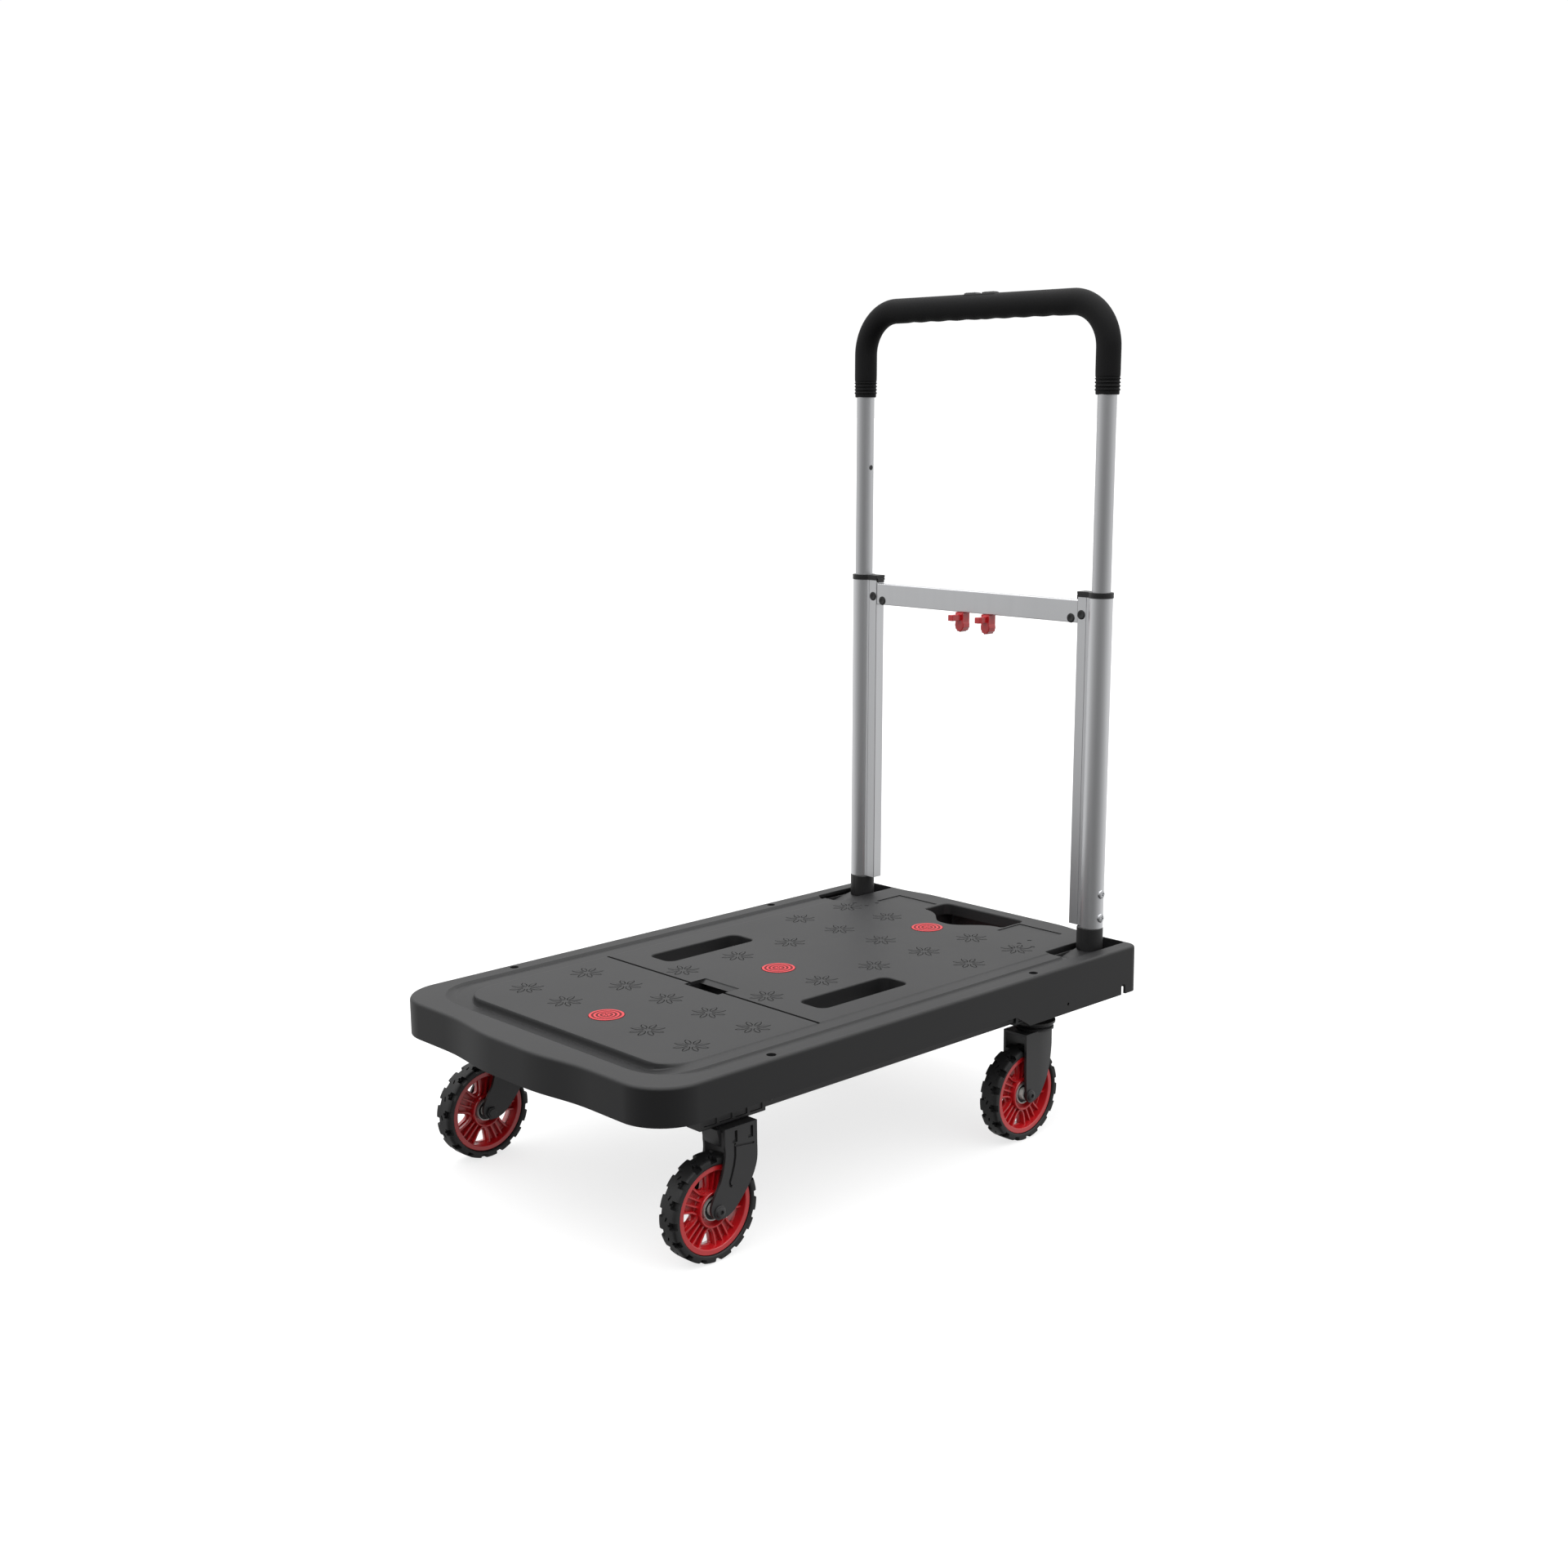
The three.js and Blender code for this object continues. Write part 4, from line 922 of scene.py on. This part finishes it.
def rail_plug():
    return shifted(plug(), RAIL_X + RAIL_FLAT["front"], RAIL_Y - 21.9, 396)


def crossbar_plugs():
    return both(shifted(plug(), RAIL_X - CROSSBAR_HALF, RAIL_Y - 37.0, 391.4))


def rail_collar():
    """A cap over tube and box with a parting line, and a hook down the box's inner side."""
    low, high = RAIL_TOP + CLEAR, RAIL_TOP + 6.2
    line = carve(prism(rail_outline(1.6), low + 2.2, low + 2.8), prism(rail_outline(0.4), low, high))
    bore = on_rail(drill(TUBE_RADIUS + CLEAR, low - 1, high + 1, "z", 48))
    hook = block((RAIL_X - 5.5, RAIL_X + 5.5), (RAIL_Y - 29.4, RAIL_Y - 27.9), (low - 2.8, low + 2), 0.3)
    return weld(carve(prism(rail_outline(0.8), low, high), line, bore), hook)


def crossbar():
    """A bar between the rails' boxes, with a room from below for each latch clip's stem."""
    end = RAIL_Y + RAIL_FLAT["end"] - CLEAR
    front, rear = RAIL_X - CROSSBAR_HALF, RAIL_X + CROSSBAR_HALF
    low, high = CROSSBAR_Z
    body = prism(eased([(front, low), (rear, low), (rear, high), (front, high)], 1.2), -end, end, "y")
    clip_rooms = both(block((front + 1.6, rear - 1.6), (8, 32), (low - 2, low + 12.2)))
    return carve(body, clip_rooms)


def latch_clip():
    """A thumb pad with a scalloped rim on a short stem, and a hooked tongue that points forwards."""
    y, half, top = 20.0, 6.0, CROSSBAR_Z[0] - CLEAR
    centre = top - 15.2
    rim = []
    for i in range(72):
        a = math.radians(5 * i)
        lower = min(1.0, max(0.0, 0.35 - math.sin(a)))
        r = 6.8 - 0.65 * lower * (0.5 - 0.5 * math.cos(11 * a))
        rim.append((y + r * math.cos(a), centre + r * 1.18 * math.sin(a)))

    def pad_outline(inset):
        keep = 1 - inset / 6
        return [(y + (u - y) * keep, centre + (v - centre) * keep) for u, v in rim]

    pad = soft_prism(pad_outline, RAIL_X - 6, RAIL_X + 6, "x", 1.0, 1.0, 3)
    neck = eased([(y - half, top - 12), (y + half, top - 12), (y + half, top), (y - half, top)], 0.8)
    neck = prism(neck, RAIL_X - 5.6, RAIL_X + 5.6, "x")
    stem = block((RAIL_X - 3.6, RAIL_X + 3.6), (y - 5, y + 5), (top - 6, CROSSBAR_Z[0] + 9.7))
    tip = RAIL_X - 20.6
    tongue = block((tip, RAIL_X - 4), (y - 3, y + 3), (top - 9.4, top - 2.4), 0.6)
    hook = prism(eased([(tip, y + 2.5), (tip + 4, y + 2.5), (tip + 4, y + 5.4), (tip, y + 4.2)], 0.4),
                 top - 9.2, top - 2.6)
    rib = block((RAIL_X - 5.9, RAIL_X + 5.9), (y - 4.2, y + 4.2), (top - 3.2, top - 1.6), 0.3)
    return weld(pad, neck, stem, tongue, hook, rib)


def hoop_path(half, low, bar, bend, ends, step):
    """A U in the plane across the cart, as (y, z), from the right end over to the left one."""
    side = [(half, z) for z in spread(low, low + ends, 44)]
    side += [(half, z) for z in spread(low + ends, bar - bend, 6)[1:]]
    side += arc((half - bend, bar - bend), bend, 0, 90, 26)[1:]
    side += [(y, bar) for y in spread(half - bend, 0, round((half - bend) / step))[1:]]
    return side + [(-y, z) for y, z in side[-2::-1]]


def handle_grip():
    """A moulded cover: close rings at both ends and shallow finger waves under the bar."""
    route = hoop_path(RAIL_Y, GRIP_END, GRIP_BAR, GRIP_BEND, 20, 2.4)
    ribbed, ring_pitch = 17.5, 3.9
    wavy, wave_pitch = 118, 28

    def section(i):
        y, z = route[i]
        height = z - GRIP_END
        across, through = GRIP_HALF
        if height < ribbed:
            crest = math.cos(2 * math.pi * (height - 5.2) / ring_pitch)
            ridge = max(0.0, crest) if height > 3.2 else 0.0
            swell = -0.7 + ridge ** 0.7
        else:
            swell = -0.7 * max(0.0, 1 - (height - ribbed) / 3)
        if height < 1:
            swell -= (1 - height) ** 2 * 0.8
        reach = min(1.0, max(0.0, (wavy - abs(y)) / 12)) if z > GRIP_BAR - 1 else 0.0
        wave = 0.4 * reach * (1 - math.cos(2 * math.pi * (abs(y) - 8) / wave_pitch))
        ring = []
        for u, v in circle((0, 0), 1, 40):
            under = max(0.0, -u) ** 1.5
            ring.append((u * (across + swell) + wave * under, v * (through + swell)))
        return ring

    bar = sweep([(RAIL_X, y, z) for y, z in route], section, (1, 0, 0))
    sockets = both(on_rail(drill(TUBE_RADIUS + CLEAR, GRIP_END - 2, TUBE_TOP + CLEAR, "z", 40)))
    pocket = prism(rounded_rect((-5.9, 5.9), (-24.3, 24.3), 3.3), 741.2, 760)
    return carve(bar, sockets, shifted(pocket, RAIL_X))


def release_button():
    """Two thumb pads on one slide, with fine cross ribs."""
    def plate(half, ys, radius, low, high, edge):
        def outline(inset):
            return rounded_rect((-half + inset, half - inset), (ys[0] + inset, ys[1] - inset), radius)
        return soft_prism(outline, low, high, "z", 0, edge)

    slide = plate(5.6, (-24, 24), 3, 744, 748.9, 0.8)
    pads = both(plate(5.2, (3.4, 23.2), 2.6, 747, 750.3, 1.2))
    rib = block((-3.6, 3.6), (-0.5, 0.5), (749.6, 750.6))
    ribs = both(repeated(rib, [(0, y) for y in (8, 11, 14, 17, 20)]))
    return shifted(weld(slide, pads, ribs), RAIL_X)


def inner_tube():
    low, high = TUBE_TOP - TUBE_LENGTH, TUBE_TOP
    tube = on_rail(prism(circle((0, 0), TUBE_RADIUS, 48), low, high))
    bore = on_rail(drill(TUBE_RADIUS - 1.5, low - 1, high + 1, "z", 48))
    hole = on_rail(drill(3.0, -16, -5, "y", 28), STUD_Z)
    return carve(tube, bore, hole)


def lock_stud():
    """The spring stud in the inner tube's hole."""
    stud = lathe([(0, -5), (2.6, -5), (2.6, -9.8), (2.0, -10.35), (0, -10.45)], "y", 24)
    return on_rail(stud, STUD_Z)


def handle_arm():
    """The moulded foot: a hinge boss, a web up to the column, and the seat under the rail."""
    r = 13.4
    top = RAIL_FOOT - CLEAR
    boss = shifted(disc(r, -r, r, "y", 1.0, 48), 0, RAIL_Y)
    web = prism([(0, -r + 0.4), (RAIL_X, -8.6), (RAIL_X, 20), (0, r - 0.4)], RAIL_Y - r, RAIL_Y + r, "y")
    column = on_rail(disc(r, -9, top, "z", 0.8, 56))
    reach = shifted(disc(r, 18, top, "z", 0.8, 56), RAIL_X, RAIL_Y - 3.7)
    spigot = on_rail(disc(11.1, top - 2, RAIL_FOOT + 58, "z", 0.8, 40))
    bore = shifted(drill(PIN_BORE, -r - 2, r + 2, "y"), 0, RAIL_Y)
    return carve(weld(boss, web, column, reach, spigot), bore)


def add_handle():
    pieces = [
        ("handle_rail", "extrusion", handle_rail(), ALUMINIUM, "handle", 0, True),
        ("rail_collar", "moulded", rail_collar(), ABS, "handle", 0.5, True),
        ("handle_arm", "moulded", handle_arm(), ABS, "handle", 0.6, True),
        ("inner_tube", "drawn", inner_tube(), TUBE, "inner_handle", 0, True),
        ("latch_clip", "moulded", latch_clip(), RED, None, 0.25, True),
        ("rail_screws", "pressed", rail_screws(), ZINC, "handle", 0.12, False),
        ("rail_plug", "pressed", rail_plug(), ABS, "handle", 0, False),
        ("lock_stud", "pressed", lock_stud(), COAT, "inner_handle", 0, False),
    ]
    for side in SIDES:
        for node, kind, shape, finish, body, bevel, stands in pieces:
            placed = moved(for_side(shape, side), HANDLE)
            name = f"{node}_{side}"
            make(f"{name}_{kind}", placed, finish, body or name, [name] if stands else (), bevel)
    for name, shape, finish, body, nodes, bevel in (
            ("crossbar_extrusion", crossbar(), ALUMINIUM, "handle", ["crossbar"], 0.3),
            ("crossbar_plugs", crossbar_plugs(), ABS, "handle", (), 0),
            ("handle_cover", handle_grip(), GRIP, "inner_handle", ["handle_grip"], 0),
            ("release_slide", release_button(), ABS, "release_button", ["release_button"], 0.2)):
        make(name, moved(shape, HANDLE), finish, body, nodes, bevel)


add_handle()

# ---------------------------------------------------------------- hardware under the deck
LEG_Y, LEG_Z = PIVOT.y, PIVOT.z


def on_pivot(shape, x=0):
    return shifted(shape, x, LEG_Y, LEG_Z)


def hoop_tube():
    """The bent tube round the front: two legs into the castings and a bar across."""
    bar, half, bend = -335.3, LEG_Y, 45
    end = span("hoop_tube")[1].x
    side = [(end, half)] + arc((bar + bend, half - bend), bend, 90, 180, 20)
    route = [(x, y, LEG_Z) for x, y in doubled(side)]
    return sweep(route, circle((0, 0), 5.75, 28), (0, 0, 1))


def side_rail():
    """A flat steel strip along the wall's foot, held by domed rivets."""
    low, high = span("side_rail_right")
    strip = block((low.x, high.x), (low.y, high.y), (low.z, high.z), 0.8)
    rivet = lathe([(0, 1), (3.6, 1), (3.5, -0.1), (2.8, -0.7), (1.6, -1.1), (0, -1.2)], "z", 28)
    rivets = (shifted(rivet, x, (low.y + high.y) / 2, low.z)
              for x in spread(low.x + 12, high.x - 12, 6))
    return weld(strip, *rivets)


def leg_tube():
    """A square tube with rounded corners, pinned to both castings."""
    low, high = span("leg_tube_right")
    outer = prism(rounded_rect((low.y, high.y), (low.z, high.z), 2.6, 5), low.x, high.x, "x")
    inner = prism(rounded_rect((low.y + 2, high.y - 2), (low.z + 2, high.z - 2), 1, 3),
                  low.x - 1, high.x + 1, "x")
    dome = lathe([(0, -1), (3.2, -1), (3.1, 0.1), (2.2, 0.7), (0, 0.95)], "y", 24)
    domes = (shifted(dome, x, high.y, (low.z + high.z) / 2) for x in (low.x + 8, high.x - 8))
    return weld(carve(outer, inner), *domes)


def leg_casting(node, plug_end, bays):
    """A cast knuckle: a barrel round the pivot pin, a ribbed pad under it and a plug for the tube."""
    low, high = span(node)
    plug_length = 16
    if plug_end == "rear":
        x0, x1 = low.x, high.x - plug_length
        plug_x = (x1 - 2, high.x)
    else:
        x0, x1 = low.x + plug_length, high.x
        plug_x = (low.x, x0 + 2)
    profile = [(-10, -14), (-10.5, -16), (-10.5, -35), (10.5, -35), (10.5, -16), (10, -14), (10, 4.5),
               (5.8, 8.7), (-5.8, 8.7), (-10, 4.5)]
    profile = eased([(LEG_Y + u, LEG_Z + v) for u, v in profile], 1.6)
    body = prism(profile, x0 + 0.6, x1 - 0.6, "x")
    pitch = (x1 - x0 - 6) / bays
    pockets = []
    for i in range(bays):
        at = x0 + 3 + pitch * i
        for face in (LEG_Y - 11.5, LEG_Y + 9.1):
            bay = (at + 1.6, at + pitch - 1.6)
            pockets.append(block(bay, (face, face + 2.4), (LEG_Z - 31.5, LEG_Z - 17), 1))
            pockets.append(block(bay, (face, face + 2.0), (LEG_Z - 11.5, LEG_Z + 2), 0.9))
    barrel = [(0, 0), (9.2, 0), (9.9, 0.7), (9.9, 5), (9.2, 5.6), (0, 5.6)]
    ends = merge(*(on_pivot(lathe(barrel, "x", 40), at) for at in (x0, x1 - 5.6)))
    plug = block(plug_x, (LEG_Y - 6.2, LEG_Y + 6.2), (LEG_Z - 30.7, LEG_Z - 18.3), 0.8)
    bore = on_pivot(drill(6.3, x0 - 3, x1 + 3, "x"))
    return carve(weld(carve(body, merge(*pockets)), ends, plug), bore)


def pivot_pin():
    """A long pin with a rolled head at each end."""
    low, high = span("leg_pivot_pin_right")
    profile = [(0, low.x), (4.6, low.x), (6.0, low.x + 0.9),
               (6.0, high.x - 0.9), (4.6, high.x), (0, high.x)]
    ring = [(5.0, 0), (6.3, 0), (6.3, 0.9), (5.0, 0.9)]
    rings = (shifted(lathe(ring, "x", 32), at) for at in (low.x + 2.2, high.x - 3.1))
    return on_pivot(weld(lathe(profile, "x", 32), *rings))


def hinge_pin():
    """A shouldered pin with a domed head outside and a peened end inside."""
    low, high = span("handle_pin_right")
    profile = [(0, low.y), (3.6, low.y), (4.7, low.y + 0.6), (5, low.y + 1.2), (5, high.y - 1.9),
               (4.4, high.y - 1.6), (4.9, high.y - 1.2), (4.6, high.y - 0.6), (3.2, high.y), (0, high.y)]
    return shifted(lathe(profile, "y", 36), HINGE.x, 0, HINGE.z)


def housing():
    """A folded bracket: a floor with two cheeks, and four hexagon bolts on round washers."""
    low, high = span("handle_housing_right")
    floor_z = low.z + 2.2
    inner_y = RAIL_Y - 16
    floor = block((low.x, high.x), (low.y, high.y), (floor_z, floor_z + 3), 0.9)
    cheek = eased([(low.x, floor_z), (low.x, high.z), (306, high.z), (306, floor_z)], 5)
    cheeks = [prism(cheek, y, y + 2, "y") for y in (inner_y, high.y - 2)]
    bore = prism(circle((HINGE.x, HINGE.z), PIN_BORE), inner_y - 2, high.y + 2, "y")
    washer = lathe([(0, 1), (6.4, 1), (6.4, -0.5), (6.0, -0.8), (0, -0.8)], "z", 32)
    head = soft_prism(lambda inset: circle((0, 0), 5 - inset, 6), -2.2, 0.5, "z", 0.5, 0, 2)
    bolts = []
    for share in (0.23, 0.8):
        for inset in (8, 28):
            at = (low.x + share * (high.x - low.x), low.y + inset, floor_z)
            bolts += [shifted(washer, *at), shifted(head, *at)]
    return carve(weld(floor, *cheeks, *bolts), bore)


def lock_sleeve():
    """A turned sleeve with a collar at each end, open to the pull rod at its rear."""
    low, high = span("lock_sleeve_right")
    bore = drill(4.8, low.x + 20, high.x + 2, "x")
    profile = [(0, low.x), (6.2, low.x), (7, low.x + 0.8), (7, low.x + 9), (6.4, low.x + 9.6),
               (6.4, high.x - 9.6), (7, high.x - 9), (7, high.x - 0.8), (6.2, high.x), (0, high.x)]
    return on_pivot(carve(lathe(profile, "x", 40), bore))


def pull_rod():
    """A round rod that ends in a slotted clevis with its cross pin."""
    low, high = span("pull_rod_right")
    rod = on_pivot(disc(4.5, low.x, high.x - 8, "x", 0.6, 32))
    head = block((high.x - 10, high.x), (LEG_Y - 5, LEG_Y + 5), (LEG_Z - 5, LEG_Z + 5), 0.7)
    slot = block((high.x - 6.5, high.x + 2), (LEG_Y - 1.6, LEG_Y + 1.6), (LEG_Z - 7, LEG_Z + 7))
    pin = prism(circle((high.x - 3.4, LEG_Z), 1.5, 20), LEG_Y - 5, LEG_Y + 5, "y")
    return weld(carve(weld(rod, head), slot), pin)


def carry_shaft():
    low, high = span("carry_shaft")
    at = middle("carry_shaft")
    return shifted(disc(5.2, low.y, high.y, "y", 0.8, 36), at.x, 0, at.z)


def carry_grip():
    """Four finger waves between plain collars, with a fine parting bead round each collar."""
    at = middle("carry_grip")
    half = span("carry_grip")[1].y
    outline = []
    for y in spread(-half, half, 96):
        edge = min(1.0, (half - abs(y)) / 2.5)
        wave = 0.9 * (1 - math.cos(8 * math.pi * (y + half) / (2 * half)))
        bead = 0.5 * math.exp(-((abs(y) - half + 4) / 0.9) ** 2)
        outline.append((11 - wave - 1.6 * (1 - edge) ** 2 - bead, y))
    return shifted(lathe([(5.5, -half)] + outline + [(5.5, half)], "y", 56), at.x, 0, at.z)


def add_hardware():
    single = [
        ("hoop_tube_bent", hoop_tube(), COAT, ["hoop_tube"]),
        ("carry_shaft_bar", carry_shaft(), COAT, ["carry_shaft"]),
        ("carry_grip_moulded", carry_grip(), RED, ["carry_grip"]),
    ]
    for name, shape, coat, nodes in single:
        make(name, shape, coat, "deck", nodes)
    pairs = [
        ("side_rail", "strip", side_rail(), COAT, "deck", 0),
        ("leg_tube", "welded", leg_tube(), COAT, "leg", 0),
        ("front_leg_casting", "cast", leg_casting("front_leg_casting_right", "rear", 4), COAT, "leg", 0.3),
        ("rear_leg_casting", "cast", leg_casting("rear_leg_casting_right", "front", 3), COAT, "leg", 0.3),
        ("leg_pivot_pin", "turned", pivot_pin(), ZINC, "deck", 0),
        ("handle_pin", "turned", hinge_pin(), ZINC, "deck", 0),
        ("handle_housing", "folded", housing(), COAT, "deck", 0.3),
        ("lock_sleeve", "turned", lock_sleeve(), COAT, "deck", 0),
        ("pull_rod", "drawn", pull_rod(), COAT, "pull_rod", 0.2),
    ]
    for side in SIDES:
        for node, kind, shape, coat, body, bevel in pairs:
            placed = for_side(shape, side)
            rides = "deck" if body == "deck" else f"{body}_{side}"
            make(f"{node}_{side}_{kind}", placed, coat, rides, [f"{node}_{side}"], bevel)


add_hardware()

# ---------------------------------------------------------------- floor, lights and camera


def studio_floor():
    """A plain pale floor that runs out of sight."""
    reach = 60  # metres
    corners = [(-reach, -reach, 0), (reach, -reach, 0), (reach, reach, 0), (-reach, reach, 0)]
    mesh = to_mesh("studio_floor", (corners, [(0, 1, 2, 3)]))
    floor = in_scene("studio_floor", mesh)
    paint = bpy.data.materials.new("studio paper")
    paint.use_nodes = True
    shader = paint.node_tree.nodes["Principled BSDF"]
    # A lit table: it glows by itself, so that the cart's shadow stays light.
    look = {"Base Color": srgb("#9a9a9a"), "Emission Color": (1, 1, 1, 1), "Emission Strength": 0.74,
            "Roughness": 1.0, "Specular IOR Level": 0.0}
    for socket, value in look.items():
        shader.inputs[socket].default_value = value
    mesh.materials.append(paint)
    # The floor is only seen: what the cart mirrors from below comes from the soft world.
    floor.visible_diffuse = False
    floor.visible_glossy = False


def studio_lights():
    """A white surround that lights the cart more from above and behind than from the front."""
    world = bpy.data.worlds.new("white studio")
    world.use_nodes = True
    tree = world.node_tree
    tree.nodes.clear()
    toward = add(tree, "ShaderNodeTexCoord").outputs["Generated"]
    dim_side = (-0.5, -0.38, -0.78)
    facing = add(tree, "ShaderNodeVectorMath", {0: toward, 1: dim_side}, operation="DOT_PRODUCT")
    glow = add(tree, "ShaderNodeMapRange", {
        "Value": facing.outputs["Value"],
        "From Min": -0.15, "From Max": 0.85, "To Min": 0.85, "To Max": 0.12})
    soft = add(tree, "ShaderNodeBackground", {"Color": (1, 1, 1, 1), "Strength": glow.outputs["Result"]})
    seen = add(tree, "ShaderNodeBackground", {"Color": (1, 1, 1, 1), "Strength": 1.02})
    ray = add(tree, "ShaderNodeLightPath").outputs["Is Camera Ray"]
    mixed = add(tree, "ShaderNodeMixShader", {0: ray, 1: soft.outputs[0], 2: seen.outputs[0]})
    add(tree, "ShaderNodeOutputWorld", {"Surface": mixed.outputs["Shader"]})
    bpy.context.scene.world = world
    bpy.context.scene.view_settings.view_transform = "Standard"
    sky = bpy.data.lights.new("overhead", "SUN")
    sky.energy = 3.1
    sky.angle = math.radians(110)
    in_scene("overhead", sky)


def camera():
    """Looks down on the front left corner from about three metres."""
    azimuth, elevation, roll = (math.radians(a) for a in (-132.888, 10.991, -0.642))
    aim, distance = Vector((726.24, 767.96, TOP)), 3198.76
    away = Vector((math.cos(elevation) * math.cos(azimuth), math.cos(elevation) * math.sin(azimuth),
                   math.sin(elevation)))
    right = (-away).cross(Vector((0, 0, 1))).normalized()
    up = right.cross(-away)
    level = Matrix((right, up, away)).transposed().to_4x4()
    lens = bpy.data.cameras.new("camera")
    lens.sensor_width = 36
    lens.lens = 45.366
    lens.clip_end = 200
    view = in_scene("camera", lens)
    view.matrix_world = (
        Matrix.Translation((aim + away * distance) * MM) @ level @ Matrix.Rotation(roll, 4, "Z"))
    bpy.context.scene.camera = view


studio_floor()
studio_lights()
camera()
